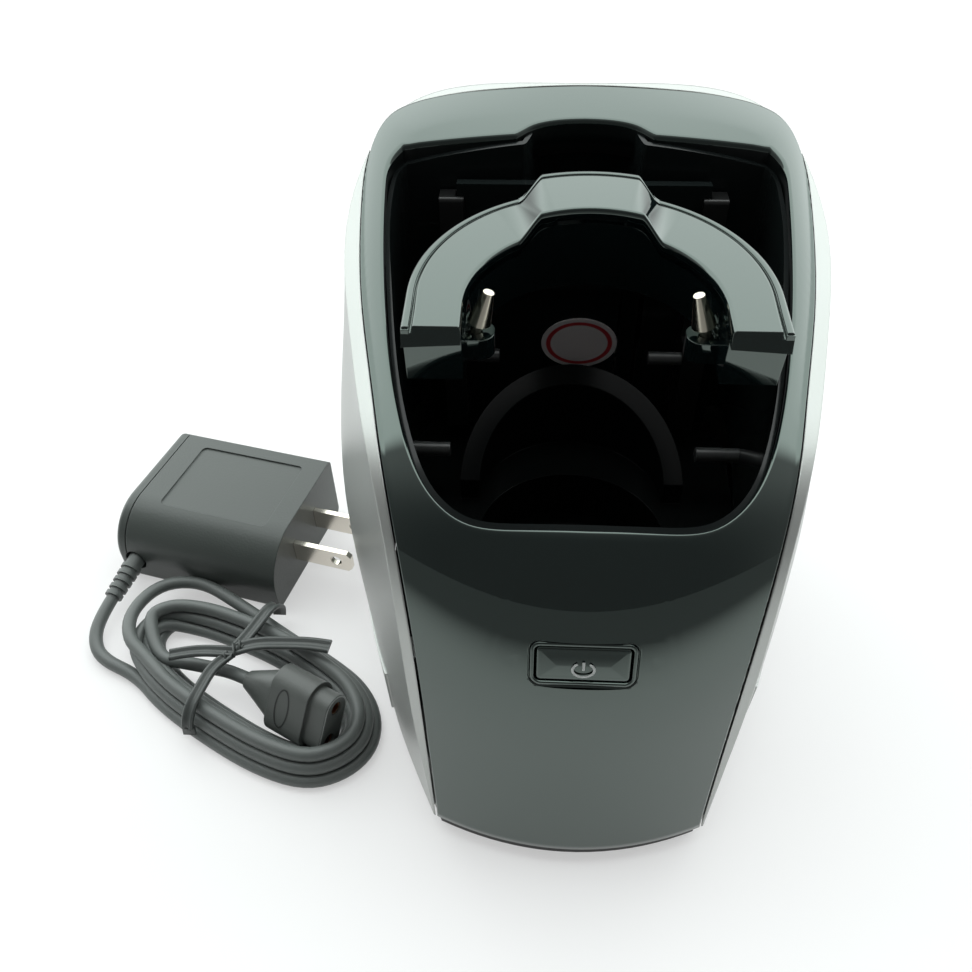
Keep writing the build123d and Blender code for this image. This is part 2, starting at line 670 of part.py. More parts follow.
# Drive frame: two cheeks and two bridges that hold the axle and the motor
frame_low = motor_z - 5.4
frame_high = DRIVE_Z + wheel_r + 2.4
cheek_back = drive_y + 5.2
drive_frame = None
for x in (cheek_left, cheek_right):
    cheek = box((x, x + CHEEK), (partition_y + FIT_GAP, cheek_back), (frame_low, frame_high))
    drive_frame = cheek if drive_frame is None else drive_frame + cheek
for z in (frame_low, frame_high - CHEEK):
    drive_frame += box((cheek_left, cheek_right + CHEEK), (rack_line_y + 1.6, cheek_back), (z, z + CHEEK))
drive_frame = drive_frame - across(Circle(AXLE_R + 0.02), cheek_left - 2, 30, drive_y, DRIVE_Z)
drive_frame = drive_frame - across(Circle(AXLE_R + 0.5), cheek_left - 1, CHEEK + 2, drive_y, motor_z)
save("drive_frame", drive_frame)

axle = across(Circle(AXLE_R), cheek_left - 0.6, cheek_right + 2 * CHEEK - cheek_left, drive_y, DRIVE_Z)
save("drive_axle", axle)

motor = box((cheek_left - 0.1 - MOTOR_SIZE[0], cheek_left - 0.1),
            (drive_y - MOTOR_SIZE[1] / 2, drive_y + MOTOR_SIZE[1] / 2),
            (motor_z - MOTOR_SIZE[2] / 2, motor_z + MOTOR_SIZE[2] / 2))
motor = fillet(motor.edges().filter_by(Axis.X), 1.2)
motor = motor - across(Circle(AXLE_R + SHAFT_GAP), cheek_left - 3.4, 4, drive_y, motor_z)
save("gear_motor", motor)

# Motor bracket that ties the motor's far end to the partition
strap_x = cheek_left - MOTOR_SIZE[0] + 4
strap_low = motor_z - MOTOR_SIZE[2] / 2
strap = box((strap_x, strap_x + 4), (partition_y + FIT_GAP, drive_y - MOTOR_SIZE[1] / 2 - FIT_GAP),
            (strap_low, strap_low + MOTOR_SIZE[2]))
save("motor_rest", strap)

switch_boxes = None
for z in (DRIVE_Z - 24, CARRIAGE_BOTTOM_Z + 2):
    body = box((cheek_right + 2, cheek_right + 8), (partition_y + FIT_GAP, partition_y + 6.6), (z, z + 6))
    body += box((cheek_right - 0.4, cheek_right + 2), (partition_y + 2, partition_y + 2.4), (z + 1, z + 4))
    switch_boxes = body if switch_boxes is None else switch_boxes + body
save("limit_switches", switch_boxes)


# Charging contacts: blocks on the ring's inner wall, sprung pins that lean inwards
block_outer = RING_INNER_R + 2.0
block_bottom = RING_TOP_Z - RING_HEIGHT + 0.6
blocks = None
for side, name in ((-1, "left"), (1, "right")):
    place = pin_frame(side)
    block = box((PIN_BLOCK_INNER, block_outer), (PIN_Y - PIN_BLOCK_HALF, PIN_Y + PIN_BLOCK_HALF),
                (block_bottom, PIN_BLOCK_TOP))
    block = fillet(block.edges().filter_by(Axis.Z).group_by(Axis.X)[0], PIN_BLOCK_HALF - 0.4)
    block = block if side > 0 else mirror(block, about=Plane.YZ)
    bore = place * Pos(0, 0, 1) * Cylinder(
        PIN_SHANK_R + SHAFT_GAP, 5.4, align=(Align.CENTER, Align.CENTER, Align.MAX))
    block = block - holder_frame - bore
    block = block.solids().sort_by(SortBy.VOLUME)[-1]
    blocks = block if blocks is None else blocks + block
    rise = PIN_TRAVEL + PIN_CONE_R * sin(radians(PIN_LEAN)) + FIT_GAP
    pin = place * Pos(0, 0, rise) * (
        Cone(PIN_CONE_R, PIN_TIP_R, PIN_CONE_LENGTH, align=(Align.CENTER, Align.CENTER, Align.MIN))
        + Cylinder(PIN_SHANK_R, rise + 1.6, align=(Align.CENTER, Align.CENTER, Align.MAX))
    )
    save(f"contact_pin_{name}", pin)
    coil = Helix(pitch=0.8, height=2.0, radius=0.75)
    wire = sweep(Plane(coil @ 0, z_dir=coil % 0) * Circle(0.15), path=coil)
    save(f"contact_spring_{name}", place * Pos(0, 0, -4.0) * wire)
save("contact_blocks", blocks)

# Chamber: base plate, tub, seal and basin with its raised collar
base_form = skin(BASE_INSET) & sides(BASE_INSET)
chamber_base = base_form & box((-70, 70), (-70, 70), (BASE_BOTTOM, BASE_TOP))


def tub_plan(grow):
    """Plan of the tub, grown outwards, with its back corners as drawn."""
    right = TUB_PLAN
    left = [(-x, y) for x, y in reversed(TUB_PLAN)]
    plan = make_face(Polyline(*right, *left, close=True))
    plan = fillet(plan.vertices(), TUB_CORNER_R)
    return offset(plan, grow) if grow else plan


tub = column(tub_plan(0), BASE_TOP, TUB_TOP) - column(tub_plan(-TUB_WALL), BASE_TOP, TUB_TOP)
chamber_base += tub
foot_recess = None
feet = None
for x, y in FEET:
    recess = Pos(x, y, BASE_BOTTOM) * Cylinder(FOOT_R + FIT_GAP, 2 * (FOOT_HEIGHT - BASE_BOTTOM))
    foot = Pos(x, y, 0) * Cylinder(FOOT_R, FOOT_HEIGHT, align=(Align.CENTER, Align.CENTER, Align.MIN))
    foot_recess = recess if foot_recess is None else foot_recess + recess
    feet = foot if feet is None else feet + foot
chamber_base = chamber_base - both_sides(foot_recess)
HOOK_HALF = 3.0
CATCH_HALF = HOOK_HALF + 0.6
catch_post = box((CATCH_X, CATCH_X + 1.6), (TAB_Y - CATCH_HALF, TAB_Y + CATCH_HALF), (BASE_TOP, 13.6))
catch_post += box((CATCH_X - 1.4, CATCH_X), (TAB_Y - CATCH_HALF, TAB_Y + CATCH_HALF), (12.2, 13.6))
chamber_base += both_sides(catch_post)
save("chamber_base", chamber_base)
save("rubber_feet", both_sides(feet))

seal = column(tub_plan(0), TUB_TOP, TUB_TOP + SEAL_THICK)
seal = seal - column(tub_plan(-TUB_WALL), TUB_TOP, TUB_TOP + SEAL_THICK)
save("chamber_seal", seal)

basin_low = TUB_TOP + SEAL_THICK
basin = column(tub_plan(0.6), basin_low, basin_low + BASIN_THICK)
bowl = Pos(0, BOWL_Y, basin_low + BASIN_THICK) * (
    Cylinder(BOWL_R, BOWL_DEPTH, align=(Align.CENTER, Align.CENTER, Align.MAX)))
bowl_hollow = Pos(0, BOWL_Y, basin_low + BASIN_THICK) * (
    Cylinder(BOWL_R - BASIN_THICK, BOWL_DEPTH - BASIN_THICK,
             align=(Align.CENTER, Align.CENTER, Align.MAX)))
bowl_hollow = fillet(bowl_hollow.edges().group_by(Axis.Z)[0], 5)
basin = basin + bowl - bowl_hollow
collar = Pos(0, COLLAR_Y, basin_low) * (
    Cylinder(COLLAR_OUTER_R, 30, align=(Align.CENTER, Align.CENTER, Align.MIN))
    - Cylinder(COLLAR_INNER_R, 30, align=(Align.CENTER, Align.CENTER, Align.MIN))
)
collar = collar & box((-40, 40), (COLLAR_Y, 50), (0, 80))
roof_angle = degrees(atan2(COLLAR_SLOPE, 1))
roof = Pos(0, COLLAR_Y, COLLAR_FRONT_Z) * Rot(X=roof_angle) * box((-60, 60), (-30, 80), (0, 60))
collar = collar - roof
basin += collar
save("chamber_basin", basin)

# Release tabs: pressed inwards, each frees its hook from the chamber's catch post
for side, name in ((-1, "left"), (1, "right")):
    tab = (sides(-TAB_PROUD) - sides(TAB_THICK - TAB_PROUD)) & tab_box
    arm_x = CATCH_X - 4.2
    arm = box((arm_x, 52), (TAB_Y - HOOK_HALF, TAB_Y + HOOK_HALF), (14.4, 16.0))
    arm = arm & sides(TAB_THICK - TAB_PROUD - 0.5)
    arm += box((arm_x, arm_x + 1.4), (TAB_Y - HOOK_HALF, TAB_Y + HOOK_HALF), (8.8, 16.0))
    arm += box((arm_x, arm_x + 2.5), (TAB_Y - HOOK_HALF, TAB_Y + HOOK_HALF), (8.8, 11.0))
    tab += arm
    leaf = sides(WALL + 0.35) - sides(WALL + 0.35 + LEAF_THICK)
    leaf = leaf & box((30, 70), (TAB_Y - TAB_LENGTH / 2 - 4, TAB_Y + TAB_LENGTH / 2 + 4), (17.2, 20.2))
    if side < 0:
        tab = mirror(tab, about=Plane.YZ)
        leaf = mirror(leaf, about=Plane.YZ)
    save(f"release_tab_{name}", tab)
    save(f"tab_spring_{name}", leaf)

# Inlet at the back: a stadium socket with two pins
inlet_face = SIDE_LEVELS[0][5] - 0.8
inlet_plane = Plane(origin=(0, inlet_face, INLET_Z), x_dir=(-1, 0, 0), z_dir=(0, 1, 0))
inlet_depth = INLET_DEPTH + 2.0
dc_inlet = extrude(inlet_plane * stadium(INLET_W + 2 * INLET_WALL - 2 * FIT_GAP,
                                         INLET_H + 2 * INLET_WALL - 2 * FIT_GAP), -inlet_depth)
dc_inlet = dc_inlet - extrude(inlet_plane * stadium(INLET_W, INLET_H), -INLET_DEPTH)
dc_inlet += box((-8, 8), (inlet_face - inlet_depth, inlet_face - 2), (floor_top, INLET_Z - INLET_H / 2 - 0.5))
inlet_pins = None
for side in (-1, 1):
    pole = extrude(inlet_plane * Pos(side * POLE_SPACING / 2, 0) * Circle(POLE_R), -INLET_DEPTH)
    inlet_pins = pole if inlet_pins is None else inlet_pins + pole
save("dc_inlet", dc_inlet)
save("inlet_pins", inlet_pins)

# Wall adapter, in its own frame: blades along +X, mid height at z 0
adapter_place = Pos(ADAPTER_ROOT[0], ADAPTER_ROOT[1], ADAPTER_HEIGHT / 2) * Rot(Z=ADAPTER_TURN)


def adapter_block(low_x, high_x, inset):
    """The adapter's rounded block between two places along it, less an inset."""
    half_w = ADAPTER_WIDTH / 2 - inset
    half_h = ADAPTER_HEIGHT / 2 - inset
    block = box((low_x, high_x), (-half_w, half_w), (-half_h, half_h))
    near_top = block.edges().filter_by(Axis.X).sort_by(lambda edge: edge.center().Y - edge.center().Z)[0]
    block = fillet(near_top, ADAPTER_TOP_EDGE_R - inset)
    rest = [edge for edge in block.edges().filter_by(Axis.X)
            if abs(edge.center().Y) > half_w - 0.1 and abs(edge.center().Z) > half_h - 0.1]
    return fillet(rest, max(ADAPTER_EDGE_R - inset, 0.2))


cap_seam = -ADAPTER_LENGTH + ADAPTER_CAP_LENGTH
adapter_body = adapter_block(cap_seam, 0, 0) - adapter_block(cap_seam, -ADAPTER_WALL, ADAPTER_WALL)
label = box(LABEL_X, LABEL_Y, (ADAPTER_HEIGHT / 2 - LABEL_DEPTH, ADAPTER_HEIGHT))
adapter_body = adapter_body - fillet(label.edges().filter_by(Axis.Z), 1.5)
blades = None
blade_slots = None
for side in (-1, 1):
    y = side * BLADE_SPACING / 2
    blade = box((-ADAPTER_WALL - 3, BLADE_LENGTH), (y - BLADE_THICK / 2, y + BLADE_THICK / 2),
                (-BLADE_W / 2, BLADE_W / 2))
    tip = blade.edges().filter_by(Axis.Y).group_by(Axis.X)[-1]
    blade = chamfer(tip, 1.1)
    hole = Pos(BLADE_LENGTH - 4.4, y, 0) * Rot(X=90) * Cylinder(BLADE_HOLE_R, 6)
    blade = blade - hole
    gap = FIT_GAP / 3
    slot_box = box((-ADAPTER_WALL - 1, 1), (y - BLADE_THICK / 2 - gap, y + BLADE_THICK / 2 + gap),
                   (-BLADE_W / 2 - gap, BLADE_W / 2 + gap))
    blades = blade if blades is None else blades + blade
    blade_slots = slot_box if blade_slots is None else blade_slots + slot_box
adapter_body = adapter_body - blade_slots
end_cap = adapter_block(-ADAPTER_LENGTH, cap_seam - 0.3, 0)
end_edges = end_cap.edges().group_by(Axis.X)[0]
end_cap = fillet(end_edges, 1.6)
end_cap += adapter_block(cap_seam - 0.3, cap_seam + 2.4, ADAPTER_WALL + FIT_GAP)

# Strain relief: a ribbed cone that leaves the adapter's near side towards the cord
lead_start = Vector(*LEAD_POINTS[0])
relief_dir = (Vector(*LEAD_POINTS[1]) - lead_start).normalized()
relief_plane = Plane(origin=lead_start - relief_dir * RELIEF_LENGTH, z_dir=relief_dir)
relief = relief_plane * Cone(RELIEF_BIG_R - RIB_HEIGHT, RELIEF_SMALL_R - RIB_HEIGHT, RELIEF_LENGTH,
                             align=(Align.CENTER, Align.CENTER, Align.MIN))
for i in range(RELIEF_RIBS):
    along = (RELIEF_LENGTH - RIB_WIDTH) * (1 - i / (RELIEF_RIBS + 1.5))
    rib_r = RELIEF_BIG_R + (RELIEF_SMALL_R - RELIEF_BIG_R) * along / RELIEF_LENGTH
    relief += relief_plane * Pos(0, 0, along) * Cylinder(
        rib_r, RIB_WIDTH, align=(Align.CENTER, Align.CENTER, Align.MIN))
relief_bore = relief_plane * Cylinder(RELIEF_BIG_R + FIT_GAP, 9)
save("strain_relief", relief)
save("adapter_body", adapter_place * adapter_body - relief_bore)
save("adapter_end_cap", adapter_place * end_cap - relief_bore)
save("adapter_blades", adapter_place * blades)

core = box((-30, -12), (-12, 12), (-ADAPTER_HEIGHT / 2 + ADAPTER_WALL + 1.8, 6.4))
core = fillet(core.edges().filter_by(Axis.Z), 1)
adapter_board = box((-40, -ADAPTER_WALL - 3.2), (-11.8, 15),
                    (-ADAPTER_HEIGHT / 2 + ADAPTER_WALL + FIT_GAP, -ADAPTER_HEIGHT / 2 + ADAPTER_WALL + 1.6))
save("adapter_transformer", adapter_place * core)
save("adapter_board", adapter_place * adapter_board)

def cord_tube(points, name):
    """A cord along straight runs joined by arcs as large as the runs allow."""
    corners = [Vector(*p) for p in points]
    radii = []
    for before, here, after in zip(corners, corners[1:], corners[2:]):
        first = here - before
        second = after - here
        turn = radians(first.get_angle(second))
        radii.append(0.45 * min(first.length, second.length) / tan(turn / 2))
    path = FilletPolyline(*corners, radius=radii)
    start = Plane(origin=corners[0], z_dir=corners[1] - corners[0])
    tube = sweep(start * Circle(CORD_D / 2), path=path)
    print(name, "radii", [round(r, 1) for r in radii],
          "length", round(path.length, 1),
          "volume ratio", round(tube.volume / (pi * CORD_D ** 2 / 4 * path.length), 4))
    return tube


save("cord_lead", cord_tube(LEAD_POINTS, "lead"))
save("cord_tail", cord_tube(TAIL_POINTS, "tail"))

# Connector: boot, body and stadium nose, leaning on the coil
axis = Vector(*CONNECTOR_AXIS).normalized()
wide = Vector(*CONNECTOR_WIDE)
wide = (wide - axis * wide.dot(axis)).normalized()
connector_plane = Plane(origin=CONNECTOR_FACE, x_dir=wide, z_dir=axis)


def connector_bar(width, thick, near, far):
    """A stadium bar of the connector between two depths behind its face."""
    plan = connector_plane.offset(-far) * stadium(width, thick)
    return extrude(plan, far - near, dir=axis)


nose_end = CONNECTOR_NOSE
body_end = CONNECTOR_NOSE + CONNECTOR_BODY
boot_start = Vector(*TAIL_POINTS[0])
connector = connector_bar(CONNECTOR_NOSE_W, CONNECTOR_NOSE_T, 0, nose_end)
connector += connector_bar(CONNECTOR_W, CONNECTOR_T, nose_end, body_end)
boot_big = connector_plane.offset(-body_end) * stadium(CONNECTOR_W - 3, CONNECTOR_T - 1)
tail_dir = (boot_start - Vector(*TAIL_POINTS[1])).normalized()
boot_small = Plane(origin=boot_start, x_dir=wide, z_dir=tail_dir) * Circle(CORD_D / 2 + 0.7)
connector += loft([boot_small, boot_big])
sockets = None
socket_liners = None
for side in (-1, 1):
    place = connector_plane * Pos(side * POLE_SPACING / 2, 0)
    bore = extrude(place * Circle(SOCKET_R + 0.35), -7.5, dir=axis)
    tube = extrude(place * (Circle(SOCKET_R + 0.3) - Circle(SOCKET_R)), -7.3, dir=axis)
    tube = tube - extrude(place * Circle(SOCKET_R + 0.5), -0.6, dir=axis)
    sockets = bore if sockets is None else sockets + bore
    socket_liners = tube if socket_liners is None else socket_liners + tube
connector = connector - sockets
save("connector_body", connector)
save("connector_contacts", socket_liners)

# Coil: one solid of the tied coil's outer shape, with a bay for the connector
coil_outline = make_face(Spline(*COIL_OUTER, periodic=True))
coil_window = make_face(Spline(*COIL_WINDOW, periodic=True))
coil = extrude(coil_outline, COIL_HEIGHT)
coil = fillet(coil.edges().group_by(Axis.Z)[-1] + coil.edges().group_by(Axis.Z)[0], 2.6)
coil = coil - extrude(coil_window, COIL_HEIGHT)
bay = connector_bar(CONNECTOR_W + 1, CONNECTOR_T + 1, -3, body_end + BOOT_LENGTH)
coil = coil - bay
coil = coil.solids().sort_by(SortBy.VOLUME)[-1]
save("cord_coil", coil)

# Tie: a flat ribbed wire tie that lies over the bundles
tie = Pos(TIE_KNOT[0], TIE_KNOT[1], COIL_HEIGHT + 0.1) * Cylinder(
    2.4, 2.2, align=(Align.CENTER, Align.CENTER, Align.MIN))
for end in TIE_ENDS:
    dx = end[0] - TIE_KNOT[0]
    dy = end[1] - TIE_KNOT[1]
    strip = Pos(0, 0, COIL_HEIGHT + 0.1) * box((0, sqrt(dx * dx + dy * dy)),
                                               (-TIE_WIDTH / 2, TIE_WIDTH / 2), (0, TIE_THICK))
    tie += Pos(TIE_KNOT[0], TIE_KNOT[1], 0) * Rot(Z=degrees(atan2(dy, dx))) * strip
save("cord_tie", tie)
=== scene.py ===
import bpy
import bmesh
import numpy as np
from math import atan2, cos, pi, radians, sin, sqrt
from mathutils import Matrix, Vector


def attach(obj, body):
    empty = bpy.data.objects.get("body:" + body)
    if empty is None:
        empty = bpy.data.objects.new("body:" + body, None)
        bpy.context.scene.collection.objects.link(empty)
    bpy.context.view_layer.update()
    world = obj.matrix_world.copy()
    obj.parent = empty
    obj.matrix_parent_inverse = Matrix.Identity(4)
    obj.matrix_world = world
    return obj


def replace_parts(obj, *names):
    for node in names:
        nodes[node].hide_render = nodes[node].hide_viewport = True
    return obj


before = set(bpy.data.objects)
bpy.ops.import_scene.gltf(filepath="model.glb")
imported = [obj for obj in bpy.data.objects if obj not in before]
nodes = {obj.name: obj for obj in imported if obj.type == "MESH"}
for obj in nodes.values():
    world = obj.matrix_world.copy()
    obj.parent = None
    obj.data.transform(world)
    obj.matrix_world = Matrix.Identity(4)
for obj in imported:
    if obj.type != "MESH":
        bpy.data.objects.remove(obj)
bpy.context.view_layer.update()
MM = 0.001


# Camera: it stands where the photographer's stood, about 19 cm from the stand's middle, and
# looks down on it. Its place, angles and lens were solved from outline points of the photo.
CAMERA_PLACE = (-10.955, -136.55, 181.765)
PITCH = 0.76689
YAW = -0.06231
ROLL = 0.01828
FOCAL_LENGTH = 31.477
SENSOR_WIDTH = 36.0
NEAREST_SEEN = 0.01
view_dir = Vector((sin(YAW) * cos(PITCH), cos(YAW) * cos(PITCH), -sin(PITCH)))
flat_right = Vector((cos(YAW), -sin(YAW), 0))
flat_down = view_dir.cross(flat_right)
image_right = flat_right * cos(ROLL) + flat_down * sin(ROLL)
image_down = flat_down * cos(ROLL) - flat_right * sin(ROLL)
camera_data = bpy.data.cameras.new("camera")
camera_data.lens = FOCAL_LENGTH
camera_data.sensor_width = SENSOR_WIDTH
camera_data.clip_start = NEAREST_SEEN
camera = bpy.data.objects.new("camera", camera_data)
axes = Matrix((image_right, -image_down, -view_dir)).transposed()
camera.matrix_world = Matrix.Translation(Vector(CAMERA_PLACE) * MM) @ axes.to_4x4()
bpy.context.scene.collection.objects.link(camera)
bpy.context.scene.camera = camera


# Cord: a round two-core lead with a smooth soft black jacket, from the adapter's strain relief
# to the connector moulded on its end. Its six turns lie three abreast on the table, two in the
# grooves above them and one on top, and at the far left one turn springs loose.
CORD_D = 3.3
LEAD = [(-119.4, 0.6, 4.9), (-120.9, -5.4, 3.9), (-120.6, -11.6, 2.6), (-117.0, -16.8, 1.75)]
TAIL = [(-100.5, -18.6, 5.6), (-94.0, -19.6, 5.8), (-86.2, -21.2, 6.2), (-80.6, -22.6, 6.9),
        (-75.6, -25.0, 7.4)]
LOOP = [
    (-103.4, -19.1), (-95.4, -26.4), (-83.5, -33.8), (-69.8, -41.0), (-58.5, -44.4),
    (-51.9, -42.2), (-47.9, -37.8), (-47.9, -31.4), (-52.1, -24.6), (-59.1, -19.2),
    (-70.2, -12.2), (-88.0, -4.9), (-98.0, -3.1), (-103.2, -4.1), (-106.6, -7.4), (-107.2, -13.2),
]
# Each strand has its shift across the loop and its height. Between two of the loop's points it
# moves over to the place of the next strand.
STRANDS = [(3.35, 1.65), (0.0, 1.65), (-3.35, 1.65), (-1.7, 4.55), (1.7, 4.55), (0.0, 7.4)]
CHANGE_FROM = 11
CHANGE_TO = 15
LOOSE_TURN = 4
LOOSE_REACH = {11: 4.0, 12: 8.5, 13: 9.0, 14: 5.5, 15: 2.5}
DRIFT_SCALE = 35.0
DRIFT_DETAIL = 3.0
DRIFT_STOPS = (0.3, 0.7)
GRAIN_DETAIL = 2.0
GRAIN_DEPTH = 0.0002
SOFT_EDGE_SAMPLES = 6


def smoothstep(low, high, value):
    """0 up to the low value, 1 from the high one, and a smooth rise between them."""
    t = np.clip((value - low) / (high - low), 0, 1)
    return t * t * (3 - 2 * t)


def unit_rows(rows):
    """Directions of length one."""
    return rows / np.linalg.norm(rows, axis=1)[:, None]


def closed_tangents(line):
    """The direction of a closed line at each of its points."""
    return unit_rows(np.roll(line, -1, axis=0) - np.roll(line, 1, axis=0))


def wire(node, inputs):
    """Set a shader node's inputs, each to a value or to the output of another node."""
    for key, value in inputs.items():
        if isinstance(value, bpy.types.NodeSocket):
            node.id_data.links.new(value, node.inputs[key])
        else:
            node.inputs[key].default_value = value


def add_node(tree, kind, inputs, operation=None):
    """A new shader node with its inputs set."""
    node = tree.nodes.new("ShaderNode" + kind)
    if operation:
        node.operation = operation
    wire(node, inputs)
    return node


def add_ramp(tree, factor, stops):
    """A colour ramp through stops, each a position and a colour."""
    node = add_node(tree, "ValToRGB", {"Fac": factor})
    elements = node.color_ramp.elements
    for i, (position, color) in enumerate(stops):
        stop = elements[i] if i < 2 else elements.new(position)
        stop.position = position
        stop.color = (*color, 1)
    return node


def make_material(name, color, roughness, metallic=0.0, grain=0.0, grain_scale=900.0,
                  gloss_spread=0.04, tint=0.04, specular=0.5, edge=0.0):
    """A moulded or metal surface: colour drift, gloss drift, a fine bump and softened edges."""
    material = bpy.data.materials.new(name)
    material.use_nodes = True
    tree = material.node_tree
    place = add_node(tree, "TexCoord", {}).outputs["Object"]
    drift = add_node(tree, "TexNoise", {
        "Scale": DRIFT_SCALE, "Detail": DRIFT_DETAIL, "Vector": place})
    tone = add_ramp(tree, drift.outputs["Fac"], [
        (DRIFT_STOPS[0], [c * (1 - tint) for c in color]),
        (DRIFT_STOPS[1], [min(1.0, c * (1 + tint)) for c in color]),
    ])
    gloss = add_node(tree, "MapRange", {
        "Value": drift.outputs["Fac"],
        "To Min": max(0.0, roughness - gloss_spread / 2),
        "To Max": roughness + gloss_spread / 2,
    })
    surface = {
        "Base Color": tone.outputs["Color"], "Roughness": gloss.outputs["Result"],
        "Metallic": metallic, "Specular IOR Level": specular,
    }
    if grain or edge:
        fine = add_node(tree, "TexNoise", {
            "Scale": grain_scale, "Detail": GRAIN_DETAIL, "Vector": place})
        bump = add_node(tree, "Bump", {
            "Strength": grain, "Distance": GRAIN_DEPTH, "Height": fine.outputs["Fac"]})
        surface["Normal"] = bump.outputs["Normal"]
        if edge:
            soft = add_node(tree, "Bevel", {"Radius": edge * MM})
            soft.samples = SOFT_EDGE_SAMPLES
            wire(bump, {"Normal": soft.outputs["Normal"]})
    wire(tree.nodes["Principled BSDF"], surface)
    return material


def assign(material, *names):
    """Give CAD nodes their material."""
    for name in names:
        for holder in nodes[name].material_slots:
            holder.material = material


loop = np.array(LOOP)
tangents = closed_tangents(loop)
normals = np.stack([tangents[:, 1], -tangents[:, 0]], axis=1)
route = [Vector(p) for p in LEAD]
for turn, (side, height) in enumerate(STRANDS):
    last = turn == len(STRANDS) - 1
    next_side, next_height = STRANDS[turn if last else turn + 1]
    for k in range(len(LOOP) - 1 if last else len(LOOP)):
        change = smoothstep(CHANGE_FROM, CHANGE_TO, k)
        offset = side + (next_side - side) * change
        if turn == LOOSE_TURN:
            offset += LOOSE_REACH.get(k, 0.0)
        x, y = loop[k] + normals[k] * offset
        route.append(Vector((x, y, height + (next_height - height) * change)))
route += [Vector(p) for p in TAIL]
cord_black = make_material("cord_black", (0.112, 0.124, 0.119), 0.45, grain=0.1)
cord_line = bpy.data.curves.new("cord", "CURVE")
cord_line.dimensions = "3D"
cord_line.bevel_depth = CORD_D / 2 * MM
cord_line.bevel_resolution = 5
cord_line.resolution_u = 5
cord_line.use_fill_caps = True
spline = cord_line.splines.new("NURBS")
spline.points.add(len(route) - 1)
for control, p in zip(spline.points, route):
    control.co = (*(p * MM), 1)
spline.order_u = 3
spline.use_endpoint_u = True
cord_line.materials.append(cord_black)
cord = bpy.data.objects.new("cord", cord_line)
bpy.context.scene.collection.objects.link(cord)
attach(cord, "base")
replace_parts(cord, "cord_lead", "cord_coil", "cord_tail")


# Wall adapter: a box in fine satin black plastic with an end cap plugged into it, and two
# nickel-plated blades through slots in its other end. A small transformer and a green board
# lie inside, and a ribbed strain relief leaves its near side with the cord.
adapter_black = make_material("adapter_black", (0.056, 0.066, 0.061), 0.38, grain=0.22,
                              grain_scale=1600, edge=0.35)
nickel = make_material("nickel", (0.78, 0.74, 0.66), 0.2, metallic=1.0, grain=0.03, edge=0.15)
board_green = make_material("board_green", (0.04, 0.15, 0.07), 0.4, tint=0.2)
steel = make_material("steel", (0.55, 0.55, 0.56), 0.28, metallic=1.0, grain=0.05)
assign(adapter_black, "adapter_body", "adapter_end_cap")
assign(nickel, "adapter_blades")
assign(steel, "adapter_transformer")
assign(board_green, "adapter_board", "control_board")
assign(cord_black, "strain_relief", "cord_lead", "cord_coil", "cord_tail")


# Connector: a black plastic body moulded on the cord's end, with two coppery socket tubes in
# its nose. A pale line just inside the edge of the nose's face is a painted highlight of that
# edge, and an oval thumb groove in its side is drawn as a dark line of painted shade.
CONNECTOR_FACE = Vector((-52.9, -37.4, 9.7))
CONNECTOR_AXIS = Vector((0.87, -0.485, 0.08)).normalized()
CONNECTOR_WIDE = Vector((0.10, 0.60, 0.79))
BODY_THICKNESS = 9.0
NOSE_HALF = (7.2, 3.6)
HIGHLIGHT_SHARE = 0.93
THUMB_BACK = 11.6
THUMB_HALF = (4.6, 1.9)
LINE_WIDTH = 0.4
LINE_LIFT = 0.04
connector_black = make_material("connector_black", (0.082, 0.090, 0.085), 0.4, grain=0.2,
                                edge=0.5)
copper = make_material("copper", (0.72, 0.42, 0.24), 0.3, metallic=1.0)
# Painted highlight: a pale grey for the thin line that stands for light caught by the edge of the
# nose's face.
rim_highlight_grey = make_material("rim_highlight_grey", (0.40, 0.42, 0.41), 0.4)
# Painted shade: a near-black for the thin oval line that stands for the shade inside the thumb
# groove.
groove_shade_dark = make_material("groove_shade_dark", (0.02, 0.022, 0.021), 0.5)
assign(connector_black, "connector_body")
assign(copper, "connector_contacts")


def new_piece(name, vertices, faces, materials, body):
    """A mesh piece in millimetres, shaded smooth, that rides on a body."""
    mesh = bpy.data.meshes.new(name)
    mesh.from_pydata([Vector(v) * MM for v in vertices], [], faces)
    mesh.validate()
    mesh.polygons.foreach_set("use_smooth", [True] * len(mesh.polygons))
    for material in materials:
        mesh.materials.append(material)
    piece = bpy.data.objects.new(name, mesh)
    bpy.context.scene.collection.objects.link(piece)
    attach(piece, body)
    return piece


def grid_faces(rows, columns, closed_rows=False, closed_columns=False):
    """Quads between the points of a grid that is stored row by row."""
    faces = []
    for i in range(rows if closed_rows else rows - 1):
        for j in range(columns if closed_columns else columns - 1):
            i2 = (i + 1) % rows
            j2 = (j + 1) % columns
            faces.append((i * columns + j, i * columns + j2, i2 * columns + j2, i2 * columns + j))
    return faces


def flat_loop(name, origin, x_dir, y_dir, points, material):
    """A thin closed line of colour on a flat face, from points across the face, for a painted
    highlight and a painted shade line.
    """
    line = np.array(points)
    vertices = []
    for (u, v), (du, dv) in zip(line, closed_tangents(line)):
        for side in (-LINE_WIDTH / 2, LINE_WIDTH / 2):
            vertices.append(origin + x_dir * (u - dv * side) + y_dir * (v + du * side))
    return new_piece(name, vertices, grid_faces(len(line), 2, closed_rows=True), [material],
                     "base")


